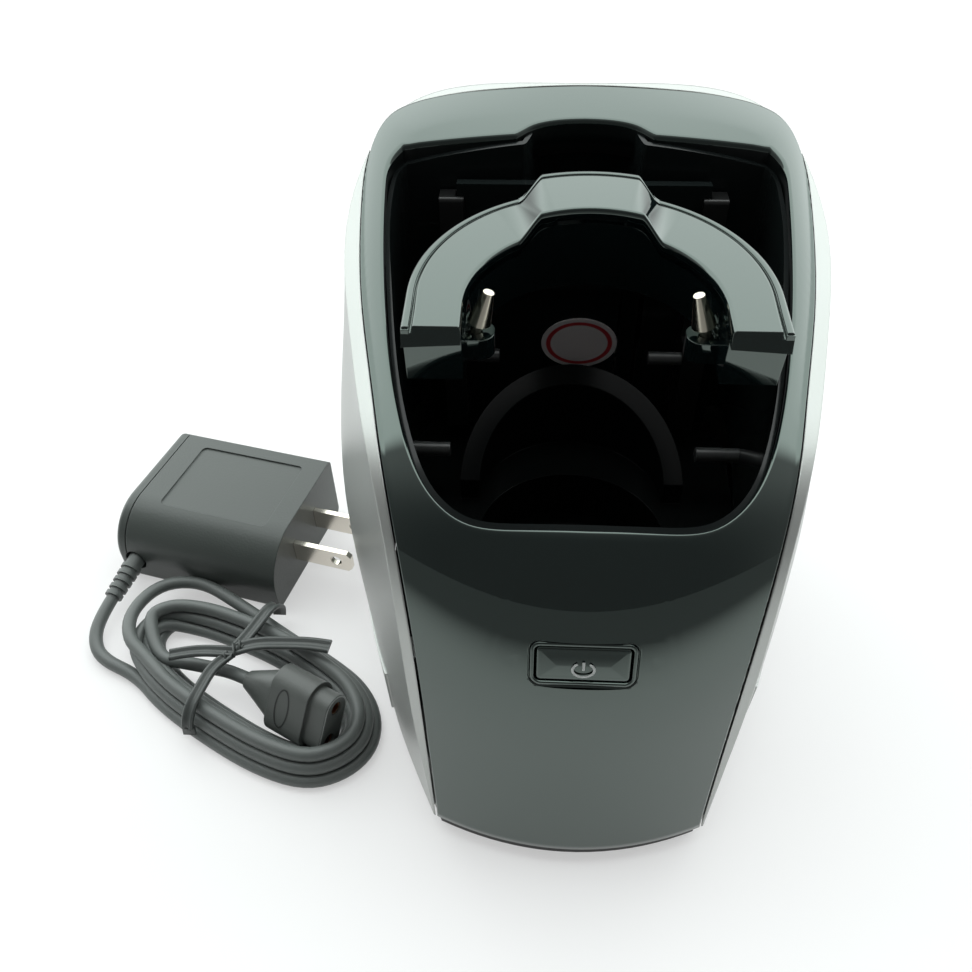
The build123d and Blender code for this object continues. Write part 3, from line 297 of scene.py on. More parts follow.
along_axis = CONNECTOR_AXIS * CONNECTOR_WIDE.dot(CONNECTOR_AXIS)
connector_wide = (CONNECTOR_WIDE - along_axis).normalized()
connector_side = connector_wide.cross(CONNECTOR_AXIS)
# Painted highlight: a pale line just inside the nose face's outline, in place of the lit edge.
highlight_line = []
for a in np.linspace(-pi / 2, pi / 2, 17):
    highlight_line.append((NOSE_HALF[0] - NOSE_HALF[1] + HIGHLIGHT_SHARE * NOSE_HALF[1] * cos(a),
                     HIGHLIGHT_SHARE * NOSE_HALF[1] * sin(a)))
highlight_line += [(-x, -y) for x, y in highlight_line]
flat_loop("socket_rim_highlight", CONNECTOR_FACE + CONNECTOR_AXIS * LINE_LIFT, connector_wide,
          connector_side, highlight_line, rim_highlight_grey)
# Painted shade: the thumb groove is not cut. A dark oval line on the body's side stands for its
# shade.
thumb_line = [(THUMB_HALF[0] * cos(a), THUMB_HALF[1] * sin(a))
              for a in np.linspace(0, 2 * pi, 41)[:-1]]
thumb_centre = (CONNECTOR_FACE - CONNECTOR_AXIS * THUMB_BACK
                - connector_side * (BODY_THICKNESS / 2 + LINE_LIFT))
flat_loop("thumb_groove_shade", thumb_centre, connector_wide, CONNECTOR_AXIS, thumb_line, groove_shade_dark)


# Tie: a flat strip of satin black plastic with two ribs along it. It is wrapped round both
# bundles of the coil and twisted together between them, and its two ends lie on the coil.
TIE_WIDTH = 3.6
TIE_THICKNESS = 0.9
TIE_STEPS = 14
TIE_STEEP = 0.3
TIE_STEEP_UP = (0.0, 0.6, 0.4)
TIE_PROFILE = [
    (-1.0, 0.0), (-1.0, 0.7), (-0.8, 1.0), (-0.5, 1.0), (-0.3, 0.45), (0.3, 0.45), (0.5, 1.0),
    (0.8, 1.0), (1.0, 0.7), (1.0, 0.0),
]
RIGHT_END = [(-79.6, -19.2, 11.2), (-76, -18.4, 12.0), (-68.1, -17.1, 11.4),
             (-62.0, -16.9, 11.1), (-57.0, -17.4, 11.0)]
LEFT_END = [(-80.2, -20.0, 11.2), (-83.5, -20.2, 11.6), (-89, -20.1, 11.2),
            (-95.4, -21.2, 10.8)]
UPPER_WRAP = [(-79.4, -18.6, 11.4), (-77.6, -14.6, 11.2), (-75.6, -9.4, 11.2),
              (-74.2, -4.6, 9.6), (-73.8, -2.6, 6.4), (-74.2, -2.4, 3.4)]
LOWER_WRAP = [(-80.6, -20.8, 11.4), (-83.6, -24.6, 11.2), (-85.2, -29.4, 10.8),
              (-86.6, -34.6, 9.4), (-87.2, -37.2, 6.2), (-87.4, -37.8, 3.4)]
KNOT = [(-81.6, -22.0, 10.9), (-80.0, -19.6, 11.8), (-78.2, -17.4, 11.2)]
KNOT_TURNS = 1.5
tie_black = make_material("tie_black", (0.066, 0.074, 0.071), 0.38, grain=0.1)


def through(points, count):
    """A smooth curve through the points, evenly stepped between them by chord length."""
    pts = np.array(points, float)
    n = len(pts)
    t = np.concatenate([[0], np.cumsum(np.linalg.norm(np.diff(pts, axis=0), axis=1))])
    h = np.diff(t)
    system = np.eye(n)
    right = np.zeros_like(pts)
    for i in range(1, n - 1):
        system[i, i - 1:i + 2] = (h[i - 1], 2 * (h[i - 1] + h[i]), h[i])
        right[i] = 6 * ((pts[i + 1] - pts[i]) / h[i] - (pts[i] - pts[i - 1]) / h[i - 1])
    bend = np.linalg.solve(system, right)
    result = []
    for u in np.linspace(0, t[-1], count):
        i = min(int(np.searchsorted(t, u, side="right")) - 1, n - 2)
        a = (t[i + 1] - u) / h[i]
        b = (u - t[i]) / h[i]
        result.append(a * pts[i] + b * pts[i + 1] + (
            (a ** 3 - a) * bend[i] + (b ** 3 - b) * bend[i + 1]) * h[i] ** 2 / 6)
    return np.array(result)


def ribbed_strip(name, points, width_share, turns=0.0):
    """A ribbed strip along a smooth path, its flat side up where the path is not too steep."""
    path = through(points, TIE_STEPS * (len(points) - 1))
    width = TIE_WIDTH * width_share
    vertices = []
    for i, (p, t) in enumerate(zip(path, unit_rows(np.gradient(path, axis=0)))):
        up = np.array([0, 0, 1.0]) - t * t[2]
        if np.linalg.norm(up) < TIE_STEEP:
            up = np.array(TIE_STEEP_UP) - t * (TIE_STEEP_UP @ t)
        up /= np.linalg.norm(up)
        across = np.cross(t, up)
        angle = turns * 2 * pi * i / (len(path) - 1)
        across, up = across * cos(angle) + up * sin(angle), up * cos(angle) - across * sin(angle)
        for u, v in TIE_PROFILE:
            vertices.append(p + across * u * width / 2 + up * v * TIE_THICKNESS)
    count = len(TIE_PROFILE)
    faces = grid_faces(len(path), count, closed_columns=True)
    faces.append(tuple(range(count)))
    faces.append(tuple(range(len(vertices) - count, len(vertices)))[::-1])
    return new_piece(name, vertices, faces, [tie_black], "base")


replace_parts(ribbed_strip("tie_right_end", RIGHT_END, 1.0), "cord_tie")
ribbed_strip("tie_left_end", LEFT_END, 0.85)
ribbed_strip("tie_upper_wrap", UPPER_WRAP, 0.9)
ribbed_strip("tie_lower_wrap", LOWER_WRAP, 0.8)
ribbed_strip("tie_knot", KNOT, 0.8, turns=KNOT_TURNS)


# Front fascia: one moulding in high-gloss black plastic, joined to the silver shell along a
# seam. Front wall, shoulder and rim are one skin round the opening, which ends in a lip down
# into the well. The rim is nearly level across and falls gently to the seam.
MIRROR_IOR = 1.57
MIRROR_TINT = (0.84, 1.0, 0.92, 1)
# The profile is the middle line seen from the side. The others are right halves in plan.
PROFILE = [
    (-63.0, -6), (-62.2, 0), (-57.6, 30), (-53.2, 56), (-48.4, 69), (-40.4, 79.8),
    (-26, 86.4), (-7, 93.4), (17, 101.8), (43, 111), (60.5, 115.5), (80, 119.5),
]
SEAM = [
    (25.6, -78), (27.6, -55.7), (31.2, -43.5), (35.2, -30.1), (38.9, -14), (43.1, 5.5),
    (46.3, 32.3), (46.0, 46), (42.6, 54.2), (34, 58.0), (18, 59.1), (0, 59.4),
]
SEAM_FROM_Y = -60
OPENING = [
    (0, -40.4), (12, -40.0), (21, -38.2), (27.4, -33.2), (32.0, -24), (35.3, -12.5),
    (39.4, 11.7), (41.2, 33), (40.6, 38.6), (38.2, 41.8),
]
NOTCH = [(14.6, 43.2), (13.1, 44.3), (11.6, 45.5), (8.6, 46.8), (5.0, 47.5), (0, 47.8)]
TO_NOTCH_STEPS = 7
FRONT_BOTTOM = 5.3
BOTTOM_STEPS = 40
SEAM_START = 0.3
BULGE = 130.0  # a point x off the middle lies x * x / BULGE further back
LEVEL_SHARE = 0.42  # of that, where the rim is level
SEAM_SHARE = 0.7
ROLL_WIDTH = 9.0
ROLL_POWER = 1.5
SHOULDER_Y = (-44, -22)
CENTRE_Y = 2
ANGLE_STEPS = 150
RINGS = 30
RING_EASE = 0.55
EDGE_R = 0.9
EDGE_STEPS = 4
LIP = [(1.4, 7.0), (0.0, 7.0), (0.0, 3.0), (0.0, EDGE_R)]
TUCK = [(0.12, 0.12), (0.15, 0.4), (0.15, 2.6)]


def mirror_finish(material):
    """High-gloss plastic: a stronger and faintly green reflection."""
    wire(material.node_tree.nodes["Principled BSDF"], {
        "IOR": MIRROR_IOR, "Specular Tint": MIRROR_TINT})


def mirrored(points):
    """A closed outline from its right half, which starts and ends on the middle line."""
    half = np.array(points)
    left = half[::-1][1:-1] * (-1, 1)
    return np.concatenate([half, left])


gloss_black = make_material("gloss_black", (0.003, 0.006, 0.0065), 0.03, gloss_spread=0.02,
                            specular=1.0)
mirror_finish(gloss_black)
lip_black = make_material("lip_black", (0.004, 0.006, 0.006), 0.3, specular=0.2)
profile = through(PROFILE, 700)
arc = np.concatenate([[0], np.cumsum(np.linalg.norm(np.diff(profile, axis=0), axis=1))])
bottom_s = float(np.interp(FRONT_BOTTOM, profile[:, 1], arc))
opening_curve = through(OPENING, 90)
to_notch = np.linspace(opening_curve[-1], NOTCH[0], TO_NOTCH_STEPS + 1)
opening_outline = mirrored(np.concatenate([
    opening_curve, to_notch[1:], through(NOTCH, 24)[1:]]))
seam_curve = through(SEAM, 260)
seam_half = seam_curve[seam_curve[:, 1] > SEAM_FROM_Y]


def skin_point(x, s):
    """A point of the fascia's outer skin, from its side position and its way up the profile."""
    y0 = np.interp(s, arc, profile[:, 0])
    z = np.interp(s, arc, profile[:, 1])
    to_seam = np.min(np.hypot(
        seam_half[:, 0] - abs(x), seam_half[:, 1] - y0 - SEAM_SHARE * x * x / BULGE))
    near_seam = np.clip(1 - to_seam / ROLL_WIDTH, 0, 1) ** ROLL_POWER
    roll = LEVEL_SHARE + (1 - LEVEL_SHARE) * near_seam
    share = 1 + (roll - 1) * smoothstep(*SHOULDER_Y, y0)
    return np.array([x, y0 + share * x * x / BULGE, z])


def way_up(x, y):
    """How far up the profile the skin passes a plan position."""
    low, high = 0.0, arc[-1]
    for _ in range(40):
        middle = (low + high) / 2
        if skin_point(x, middle)[1] < y:
            low = middle
        else:
            high = middle
    return (low + high) / 2


# The skin is laid out flat, by side position and way up, and spans rays from a point between
# its inner and outer outlines.
inner_edge = np.array([(x, way_up(x, y)) for x, y in opening_outline])
seam_edge = np.array([(x, way_up(x, y)) for x, y in seam_half])
seam_edge = seam_edge[seam_edge[:, 1] > bottom_s + SEAM_START]
bottom_x = float(seam_edge[0][0])
bottom_edge = np.stack([
    np.linspace(0, bottom_x, BOTTOM_STEPS), np.full(BOTTOM_STEPS, bottom_s)], axis=1)
outer_edge = mirrored(np.concatenate([bottom_edge, seam_edge]))
centre = np.array([0.0, way_up(0, CENTRE_Y)])


def on_outline(outline, angle):
    """The outline's farthest point from the centre along a direction."""
    ray = np.array([sin(angle), -cos(angle)])
    a = outline - centre
    b = np.roll(outline, -1, axis=0) - centre
    cross_a = a[:, 0] * ray[1] - a[:, 1] * ray[0]
    cross_b = b[:, 0] * ray[1] - b[:, 1] * ray[0]
    hit = np.nonzero((cross_a * cross_b <= 0) & ((a @ ray) > 0))[0]
    distance = 0.0
    for i in hit:
        t = cross_a[i] / (cross_a[i] - cross_b[i]) if cross_a[i] != cross_b[i] else 0
        distance = max(distance, float((a[i] + t * (b[i] - a[i])) @ ray))
    return centre + distance * ray


corner_angles = [atan2(bottom_x, centre[1] - bottom_s)]
opening_end = len(opening_curve) - 1
for x, s in (inner_edge[opening_end], inner_edge[opening_end + TO_NOTCH_STEPS]):
    corner_angles.append(atan2(x, centre[1] - s))
even_angles = [i * pi / ANGLE_STEPS for i in range(ANGLE_STEPS + 1)]
angles = sorted({round(a, 6) for a in even_angles + corner_angles})
angles = angles + [-a for a in angles[::-1] if 0 < a < pi - 1e-6]
inner_points = [on_outline(inner_edge, a) for a in angles]
outer_points = [on_outline(outer_edge, a) for a in angles]


def skin_row(inset, drop):
    """A ring of the skin at an inset from the opening, dropped below its surface."""
    row = []
    for p, q in zip(inner_points, outer_points):
        outward = (q - p) / np.linalg.norm(q - p)
        row.append(skin_point(*(p + outward * inset)) - np.array([0, 0, drop]))
    return row


rows = [skin_row(inset, drop) for inset, drop in LIP]
for i in range(1, EDGE_STEPS + 1):
    turn = i * pi / 2 / EDGE_STEPS
    rows.append(skin_row(EDGE_R * (1 - cos(turn)), EDGE_R * (1 - sin(turn))))
for i in range(1, RINGS + 1):
    way_out = RING_EASE * smoothstep(0, 1, i / RINGS) + (1 - RING_EASE) * i / RINGS
    row = []
    for p, q in zip(inner_points, outer_points):
        start = EDGE_R / np.linalg.norm(q - p)
        row.append(skin_point(*(p + (q - p) * (start + (1 - start) * way_out))))
    rows.append(row)
rim_edge = np.array(rows[-1])
onward = unit_rows(rim_edge - np.array(rows[-2]))
edge_normal = unit_rows(np.cross(closed_tangents(rim_edge), onward))
edge_normal *= np.where(edge_normal[:, 2:3] * 2 - edge_normal[:, 1:2] < 0, -1.0, 1.0)
for beyond, below in TUCK:
    rows.append(list(rim_edge + onward * beyond - edge_normal * below))
fascia = new_piece("fascia", [v for row in rows for v in row],
                   grid_faces(len(rows), len(angles), closed_columns=True),
                   [gloss_black, lip_black], "housing")
for wall in fascia.data.polygons[:(len(LIP) - 1) * len(angles)]:
    wall.material_index = 1
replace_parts(fascia, "front_fascia")

# The button's hole in the fascia: a rectangle with cut corners, just inside the frame's edge
BUTTON = (0, -52.91, 58.02)
BUTTON_LEAN = radians(8.6)
HOLE_HALF = (9.6, 4.95)
HOLE_CORNER = 9.36
HOLE_NEAR = (13, 9)
HOLE_DEPTH = 4
button_x = Vector((1, 0, 0))
button_out = Vector((0, -cos(BUTTON_LEAN), sin(BUTTON_LEAN)))
button_up = Vector((0, sin(BUTTON_LEAN), cos(BUTTON_LEAN)))
hole_sides = [((side, 0), HOLE_HALF[0]) for side in (1, -1)]
hole_sides += [((0, side), HOLE_HALF[1]) for side in (1, -1)]
hole_sides += [((sx * sqrt(0.5), sy * sqrt(0.5)), HOLE_CORNER)
               for sx in (1, -1) for sy in (1, -1)]
hole_mesh = bmesh.new()
hole_mesh.from_mesh(fascia.data)


def in_button(face):
    """A face's middle across and up the button, and out of it, in millimetres."""
    p = Vector(face.calc_center_median()) / MM - Vector(BUTTON)
    return p.dot(button_x), p.dot(button_up), p.dot(button_out)


for (sx, sy), distance in hole_sides:
    near = []
    for f in hole_mesh.faces:
        u, v, w = in_button(f)
        if abs(u) < HOLE_NEAR[0] and abs(v) < HOLE_NEAR[1]:
            near.append(f)
    geometry = list(dict.fromkeys(e for f in near for e in f.edges)) + near
    geometry += list(dict.fromkeys(v for f in near for v in f.verts))
    normal = button_x * sx + button_up * sy
    origin = (Vector(BUTTON) + normal * distance) * MM
    bmesh.ops.bisect_plane(hole_mesh, geom=geometry, plane_co=origin, plane_no=normal)
inside = []
for f in hole_mesh.faces:
    u, v, w = in_button(f)
    if abs(w) < HOLE_DEPTH and all(
            u * sx + v * sy < distance for (sx, sy), distance in hole_sides):
        inside.append(f)
bmesh.ops.delete(hole_mesh, geom=inside, context="FACES")
bmesh.ops.recalc_face_normals(hole_mesh, faces=hole_mesh.faces)
hole_mesh.to_mesh(fascia.data)
hole_mesh.free()


# Silver shell: back and both sides in one plastic moulding with satin silver lacquer, and two
# release tabs let into its sides, each pushed out by a steel leaf spring. The shell's upper
# edge shows as a thin bright line behind the rim, round both back corners.
EDGE_SECTION = [(0.15, -3.0), (0.15, -0.35), (0.3, -0.15), (0.5, -0.2), (0.62, -0.5),
                (0.5, -0.95), (-0.3, -1.7)]
EDGE_FROM_Y = 40
EDGE_FADE_STEPS = 24
EDGE_FADE_DROP = 3
silver = make_material("silver", (0.42, 0.435, 0.42), 0.36, metallic=0.75, grain=0.12,
                       grain_scale=2200, tint=0.015, edge=0.5)
assign(silver, "side_shell", "release_tab_left", "release_tab_right")
assign(steel, "tab_spring_left", "tab_spring_right")
edge_path = [skin_point(x, way_up(x, y)) for x, y in seam_half[seam_half[:, 1] > EDGE_FROM_Y]]
edge_path += [p * (-1, 1, 1) for p in edge_path[::-1][1:]]
edge_path = np.array(edge_path)
edge_vertices = []
for i, (p, t) in enumerate(zip(edge_path, unit_rows(np.gradient(edge_path[:, :2], axis=0)))):
    shown = smoothstep(0, EDGE_FADE_STEPS, min(i, len(edge_path) - 1 - i))
    for out, up in EDGE_SECTION:
        edge_vertices.append(p + np.array([
            t[1] * out * shown, -t[0] * out * shown, up - EDGE_FADE_DROP * (1 - shown)]))
new_piece("shell_edge", edge_vertices, grid_faces(len(edge_path), len(EDGE_SECTION)), [silver],
          "housing")


# Well: a half-gloss black liner under the rim. On it stand two grooved posts that guide the
# holder's carriage, two grey stop pegs and two grey studs, all in moulded plastic. The oval
# badge is a thin pale plate with a red ring on the liner's back wall.
BADGE_CENTRE = (1.7, 61.0)
BADGE_HALF = (9.3, 7.0)
BADGE_RING_INNER = (0.74, 0.77)
BADGE_RING_OUTER = (0.86, 0.89)
BADGE_PALE = (0.90, 0.84, 0.84)
BADGE_RED = (0.62, 0.05, 0.06)
liner_black = make_material("liner_black", (0.009, 0.012, 0.012), 0.16, grain=0.03,
                            specular=0.3)
post_black = make_material("post_black", (0.012, 0.0125, 0.0125), 0.3, grain=0.08, edge=0.35)
peg_grey = make_material("peg_grey", (0.07, 0.073, 0.073), 0.3, grain=0.05, edge=0.3)
assign(liner_black, "well_liner")
assign(post_black, "guide_posts")
assign(peg_grey, "stop_pegs", "side_studs")
badge_pale = make_material("badge_pale", BADGE_PALE, 0.32, tint=0.05)
badge_tree = badge_pale.node_tree
badge_place = add_node(badge_tree, "Mapping", {
    "Vector": add_node(badge_tree, "TexCoord", {}).outputs["Object"],
    "Location": (-BADGE_CENTRE[0] / BADGE_HALF[0], 0, -BADGE_CENTRE[1] / BADGE_HALF[1]),
    "Scale": (1 / MM / BADGE_HALF[0], 0, 1 / MM / BADGE_HALF[1]),
})
from_badge = add_node(badge_tree, "VectorMath", {0: badge_place.outputs["Vector"]}, "LENGTH")
badge_ring = add_ramp(badge_tree, from_badge.outputs["Value"], [
    (BADGE_RING_INNER[0], BADGE_PALE), (BADGE_RING_INNER[1], BADGE_RED),
    (BADGE_RING_OUTER[0], BADGE_RED), (BADGE_RING_OUTER[1], BADGE_PALE)])
wire(badge_tree.nodes["Principled BSDF"], {"Base Color": badge_ring.outputs["Color"]})
assign(badge_pale, "oval_badge")


# Holder: a U-shaped frame in high-gloss black that carries the shaver. It travels with a
# carriage, which slides in the guide posts, and a toothed rack. Two plated contact pins lean
# inwards in blocks on the U's inner wall, each on a steel spring.
ring_black = make_material("ring_black", (0.003, 0.006, 0.0065), 0.035, gloss_spread=0.02,
                           specular=1.0, edge=0.2)
mirror_finish(ring_black)
satin_black = make_material("satin_black", (0.018, 0.019, 0.019), 0.4, grain=0.12, edge=0.25)
pin_metal = make_material("pin_metal", (0.70, 0.66, 0.55), 0.2, metallic=1.0, edge=0.15)
assign(ring_black, "holder_frame", "holder_cover", "contact_blocks")
assign(liner_black, "holder_carriage", "drive_rack")
assign(pin_metal, "contact_pin_left", "contact_pin_right")
assign(steel, "contact_spring_left", "contact_spring_right")


# Ring cover: the high-gloss top of the holder, one plastic moulding set in its frame. It is
# flat with a groove inside its outer bead, and arched over the middle. Both ends slope
# forward, so they mirror the dark room in front.
RING_CENTRE = (0, -20.0, 104.5)
RING_LEAN = radians(6.0)
RING_OUTER = (10.2, 31.8)
RING_INNER = (6.7, 22.0)
RING_STEPS = 240
ARCH_RISE = 4.2
ARCH_RAMP = (9.1, 12.9)
ARCH_STRAIGHT = 0.75
END_TOP = 0.55
END_SLOPE = 0.43
ARM_YS = (None, END_TOP, 0.8, 2.5, 4.5)  # the first is the sloping end
OUTER_SECTION = [
    (-0.05, -3.4), (-0.05, -0.8), (0.03, -0.4), (0.2, -0.16), (0.4, -0.1), (1.05, -0.1),
    (1.2, -0.18), (1.26, -0.4), (1.28, -1.1), (1.8, -1.1), (1.82, -0.3), (1.9, -0.06),
    (2.1, 0.02), (2.35, 0.02),
]
INNER_SECTION = [
    (0.8, 0.02), (0.6, 0.02), (0.3, -0.06), (0.06, -0.3), (-0.03, -0.8), (-0.03, -2.9),
]
ring_place = Matrix.Translation(RING_CENTRE) @ Matrix.Rotation(RING_LEAN, 4, "X")
ring_columns = [((-RING_OUTER[1], y), (-RING_INNER[1], y)) for y in ARM_YS]
for a in np.linspace(0, pi, RING_STEPS + 1):
    ring_columns.append(tuple((-r * cos(a), y + r * sin(a)) for y, r in (RING_OUTER, RING_INNER)))
ring_columns += [((-o[0], o[1]), (-i[0], i[1])) for o, i in ring_columns[len(ARM_YS) - 1::-1]]
cover_vertices = []
for outer, inner in ring_columns:
    sloped = outer[1] is None
    far = np.array((outer[0], 0 if sloped else outer[1]), float)
    to_inner = np.array((inner[0], 0 if sloped else inner[1]), float) - far
    width = np.linalg.norm(to_inner)
    for u, h in OUTER_SECTION + [(width - u, h) for u, h in INNER_SECTION]:
        x, y = far + to_inner / width * u
        if sloped:
            y = END_TOP + END_SLOPE * min(h, 0)
        ramp = np.clip((abs(x) - ARCH_RAMP[0]) / (ARCH_RAMP[1] - ARCH_RAMP[0]), 0, 1)
        fall = ARCH_STRAIGHT * ramp + (1 - ARCH_STRAIGHT) * smoothstep(0, 1, ramp)
        cover_vertices.append(ring_place @ Vector((x, y, h + ARCH_RISE * (1 - fall))))
section_count = len(OUTER_SECTION) + len(INNER_SECTION)
cover_faces = grid_faces(len(ring_columns), section_count, closed_columns=True)
for first in (0, len(cover_vertices) - section_count):
    start = len(cover_vertices)
    cover_vertices += cover_vertices[first:first + section_count]
    end_face = list(range(start, start + section_count))
    cover_faces.append(end_face if first == 0 else end_face[::-1])
ring_cover = new_piece("ring_cover", cover_vertices, cover_faces, [ring_black], "holder")
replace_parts(ring_cover, "holder_cover")


# Power button: a high-gloss black cap in a raised frame, with a fine groove on both sides of
# the frame. Cap and frame follow the fascia's curve. A steel spring holds the cap out over a
# switch on the board, and a plain power symbol is printed on it in grey.
FRAME_HALF = (9.75, 5.1)
FRAME_CORNER = 2.4
CORNER_STEPS = 9
SMALLEST_CORNER = 0.04
SMALLEST_HALF = 0.01
# Each row of the frame or the cap has its inset from the frame's edge and its height.
FRAME_ROWS = [
    (0, 0.0), (0.06, 0.03), (0.12, 0.02), (0.16, -0.5), (0.5, -0.5), (0.54, -0.04),
    (0.64, 0.03), (1.1, 0.03), (1.2, -0.05), (1.24, -1.4),
]
CAP_HEIGHT = -0.1
CAP_ROWS = [(1.6, -1.4), (1.6, -0.42), (1.66, -0.24), (1.8, -0.13)]
CAP_ROWS += [(inset, CAP_HEIGHT) for inset in (2.0, 2.4, 2.8, 3.2, 3.6, 4.0, 4.4, 4.8, 5.05)]
SYMBOL_UP = -0.65
SYMBOL_R = (1.88, 1.5)
SYMBOL_GAP = radians(34)
SYMBOL_BAR = (-0.1, 1.7)
SYMBOL_HALF_STROKE = 0.23
SYMBOL_HEIGHT = 0.05
assign(gloss_black, "button_bezel", "power_button")
assign(steel, "button_spring")
assign(satin_black, "button_switch", "board_posts")
icon_grey = make_material("icon_grey", (0.55, 0.57, 0.56), 0.4)
button_s = float(np.interp(BUTTON[2], profile[:, 1], arc))


def on_button(u, v, out):
    """A point across and up the button, and out of the fascia's skin there."""
    return skin_point(u, button_s + v) + np.array(button_out) * out


def rounded_rows(name, rows, body, closed):
    """Nested rounded rectangles on the fascia, from insets and heights."""
    vertices = []
    for inset, height in rows:
        corner = max(FRAME_CORNER - inset, SMALLEST_CORNER)
        half_u = FRAME_HALF[0] - inset - corner
        half_v = max(FRAME_HALF[1] - inset - corner, SMALLEST_HALF)
        for k, (su, sv) in enumerate([(1, 1), (-1, 1), (-1, -1), (1, -1)]):
            for a in np.linspace(k * pi / 2, (k + 1) * pi / 2, CORNER_STEPS):
                vertices.append(on_button(
                    su * half_u + corner * cos(a), sv * half_v + corner * sin(a), height))
    row_count = 4 * CORNER_STEPS
    faces = grid_faces(len(rows), row_count, closed_columns=True)
    if closed:
        faces.append(tuple(range(len(vertices) - row_count, len(vertices))))
    return new_piece(name, vertices, faces, [gloss_black], body)


def symbol_line(name, points):
    """A thin printed line on the cap, from points across and up the button."""
    line = np.array(points)
    vertices = []
    for (u, v), (du, dv) in zip(line, unit_rows(np.gradient(line, axis=0))):
        for side in (-SYMBOL_HALF_STROKE, SYMBOL_HALF_STROKE):
            vertices.append(on_button(u - dv * side, v + du * side, SYMBOL_HEIGHT + CAP_HEIGHT))
    return new_piece(name, vertices, grid_faces(len(line), 2), [icon_grey], "button")


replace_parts(rounded_rows("button_frame", FRAME_ROWS, "housing", False), "button_bezel")
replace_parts(rounded_rows("button_cap", CAP_ROWS, "button", True), "power_button")
symbol_line("symbol_ring", [
    (SYMBOL_R[0] * sin(a), SYMBOL_UP + SYMBOL_R[1] * cos(a))
    for a in np.linspace(SYMBOL_GAP, 2 * pi - SYMBOL_GAP, 49)])
symbol_line("symbol_bar", [(0, SYMBOL_UP + end) for end in SYMBOL_BAR])


# Drive: a small gear motor behind the well, in a black plastic frame, moves the rack through
# white acetal gears, one of them on a steel axle. Two steel screws hold the housing's floor
# from below, and the inlet for the connector has two steel pins.
gear_white = make_material("gear_white", (0.72, 0.72, 0.69), 0.4, grain=0.05)
assign(gear_white, "drive_gear", "motor_gear")
assign(steel, "gear_motor", "drive_axle", "housing_screws", "inlet_pins")
assign(satin_black, "drive_frame", "motor_rest", "limit_switches", "dc_inlet", "housing_floor")


# Fluid chamber: a black plastic tub on its base plate, and on top of it a smoky black basin
# with a raised collar. A soft rubber seal lies between tub and basin, and rubber feet sit in
# recesses under the plate.
rubber = make_material("rubber", (0.03, 0.03, 0.03), 0.75, grain=0.4, specular=0.3)
basin_black = make_material("basin_black", (0.004, 0.005, 0.005), 0.2, grain=0.03,
                            specular=0.12, edge=0.3)
assign(satin_black, "chamber_base")
assign(rubber, "chamber_seal", "rubber_feet")
assign(basin_black, "chamber_basin")


# Floor: a pale table top. To the camera it is even. To every other ray its colour has painted
# shade: it darkens from pale to dark towards the front, for the dimmer light far in front of
# the stand, and the gloss front mirrors that darkened floor.
FLOOR_HALF = 6.0
FLOOR_PALE = 0.92
FLOOR_PAINTED_SHADE = 0.2
FLOOR_GLOW = 0.5
SHADE_FROM_Y = -0.28
SHADE_TO_Y = -0.11
floor_white = make_material("floor_white", (FLOOR_PALE, FLOOR_PALE, FLOOR_PALE), 0.6, tint=0.0)
floor_tree = floor_white.node_tree
floor_place = add_node(floor_tree, "SeparateXYZ", {
    "Vector": add_node(floor_tree, "TexCoord", {}).outputs["Object"]})
# Painted shade: away from the camera's view, the floor's colour falls from pale to dark towards
# the front.
floor_painted_shade = add_node(floor_tree, "MapRange", {
    "Value": floor_place.outputs["Y"], "From Min": SHADE_FROM_Y, "From Max": SHADE_TO_Y,
    "To Min": FLOOR_PAINTED_SHADE, "To Max": FLOOR_PALE})
floor_painted_shade.interpolation_type = "SMOOTHSTEP"
floor_rays = add_node(floor_tree, "LightPath", {})
floor_tone = add_node(floor_tree, "Mix", {
    "Factor": floor_rays.outputs["Is Camera Ray"], "A": floor_painted_shade.outputs["Result"],
    "B": FLOOR_PALE})
floor_seen = add_node(floor_tree, "Math", {
    0: floor_rays.outputs["Is Camera Ray"], 1: floor_rays.outputs["Is Glossy Ray"]}, "MAXIMUM")
glow_share = add_node(floor_tree, "Math", {
    0: floor_seen.outputs["Value"], 1: FLOOR_GLOW}, "MULTIPLY")
floor_glow = add_node(floor_tree, "Emission", {"Color": floor_tone.outputs["Result"]})
floor_shader = floor_tree.nodes["Principled BSDF"]
wire(floor_shader, {"Base Color": floor_tone.outputs["Result"]})
floor_blend = add_node(floor_tree, "MixShader", {
    "Fac": glow_share.outputs["Value"], 1: floor_shader.outputs["BSDF"],
    2: floor_glow.outputs["Emission"]})
wire(floor_tree.nodes["Material Output"], {"Surface": floor_blend.outputs["Shader"]})
floor_mesh = bpy.data.meshes.new("floor")
floor_mesh.from_pydata(
    [(-FLOOR_HALF, -FLOOR_HALF, 0), (FLOOR_HALF, -FLOOR_HALF, 0), (FLOOR_HALF, FLOOR_HALF, 0),
     (-FLOOR_HALF, FLOOR_HALF, 0)], [], [(0, 1, 2, 3)])
floor_mesh.materials.append(floor_white)
floor = bpy.data.objects.new("floor", floor_mesh)
bpy.context.scene.collection.objects.link(floor)


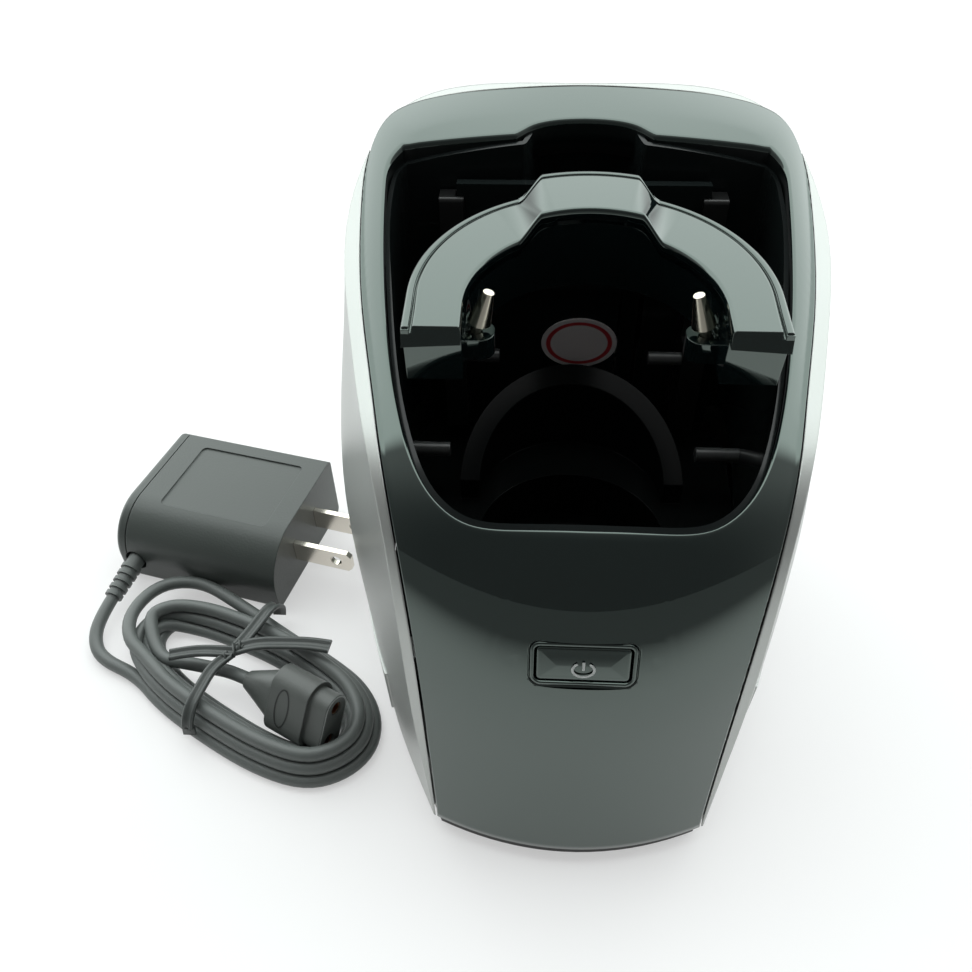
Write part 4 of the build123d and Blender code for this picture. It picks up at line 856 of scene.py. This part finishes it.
# Room: one wide soft light overhead, a little behind the stand, in a room that is bright at
# the back and dark in front. The camera itself sees it as a pale backdrop.
OVERHEAD_Y = 0.42
OVERHEAD_HALF = (1.25, 0.52)
OVERHEAD_LIGHT = 2.1
OVERHEAD_COLOR = (0.93, 1.0, 0.985)
OVERHEAD_FADE = (0.8, 1.0)
ROOM_Y = (-0.75, 0.1)
ROOM_LIGHT = (0.12, 0.62)
BACKDROP = (0.96, 0.96, 0.96, 1)
world = bpy.data.worlds.new("room")
bpy.context.scene.world = world
world.use_nodes = True
world_tree = world.node_tree
direction = add_node(world_tree, "TexCoord", {}).outputs["Generated"]
overhead_place = add_node(world_tree, "Mapping", {
    "Vector": direction, "Location": (0, -OVERHEAD_Y / OVERHEAD_HALF[1], 0),
    "Scale": (1 / OVERHEAD_HALF[0], 1 / OVERHEAD_HALF[1], 0)})
from_overhead = add_node(world_tree, "VectorMath", {
    0: overhead_place.outputs["Vector"]}, "LENGTH")
overhead_ramp = add_ramp(world_tree, from_overhead.outputs["Value"], [
    (OVERHEAD_FADE[0], OVERHEAD_COLOR), (OVERHEAD_FADE[1], (0.0, 0.0, 0.0))])
overhead_ramp.color_ramp.interpolation = "EASE"
overhead = add_node(world_tree, "VectorMath", {
    0: overhead_ramp.outputs["Color"], "Scale": OVERHEAD_LIGHT}, "SCALE")
room_place = add_node(world_tree, "SeparateXYZ", {"Vector": direction})
room_ramp = add_node(world_tree, "MapRange", {
    "Value": room_place.outputs["Y"], "From Min": ROOM_Y[0], "From Max": ROOM_Y[1],
    "To Min": ROOM_LIGHT[0], "To Max": ROOM_LIGHT[1]})
room_ramp.interpolation_type = "SMOOTHSTEP"
room = add_node(world_tree, "VectorMath", {
    0: overhead.outputs["Vector"], 1: room_ramp.outputs["Result"]}, "ADD")
world_rays = add_node(world_tree, "LightPath", {})
world_seen = world_tree.nodes.new("ShaderNodeMix")
world_seen.data_type = "RGBA"
wire(world_seen, {
    "Factor": world_rays.outputs["Is Camera Ray"], "A": room.outputs["Vector"], "B": BACKDROP})
wire(world_tree.nodes["Background"], {"Color": world_seen.outputs["Result"], "Strength": 1.0})
bpy.context.scene.view_settings.view_transform = "Standard"
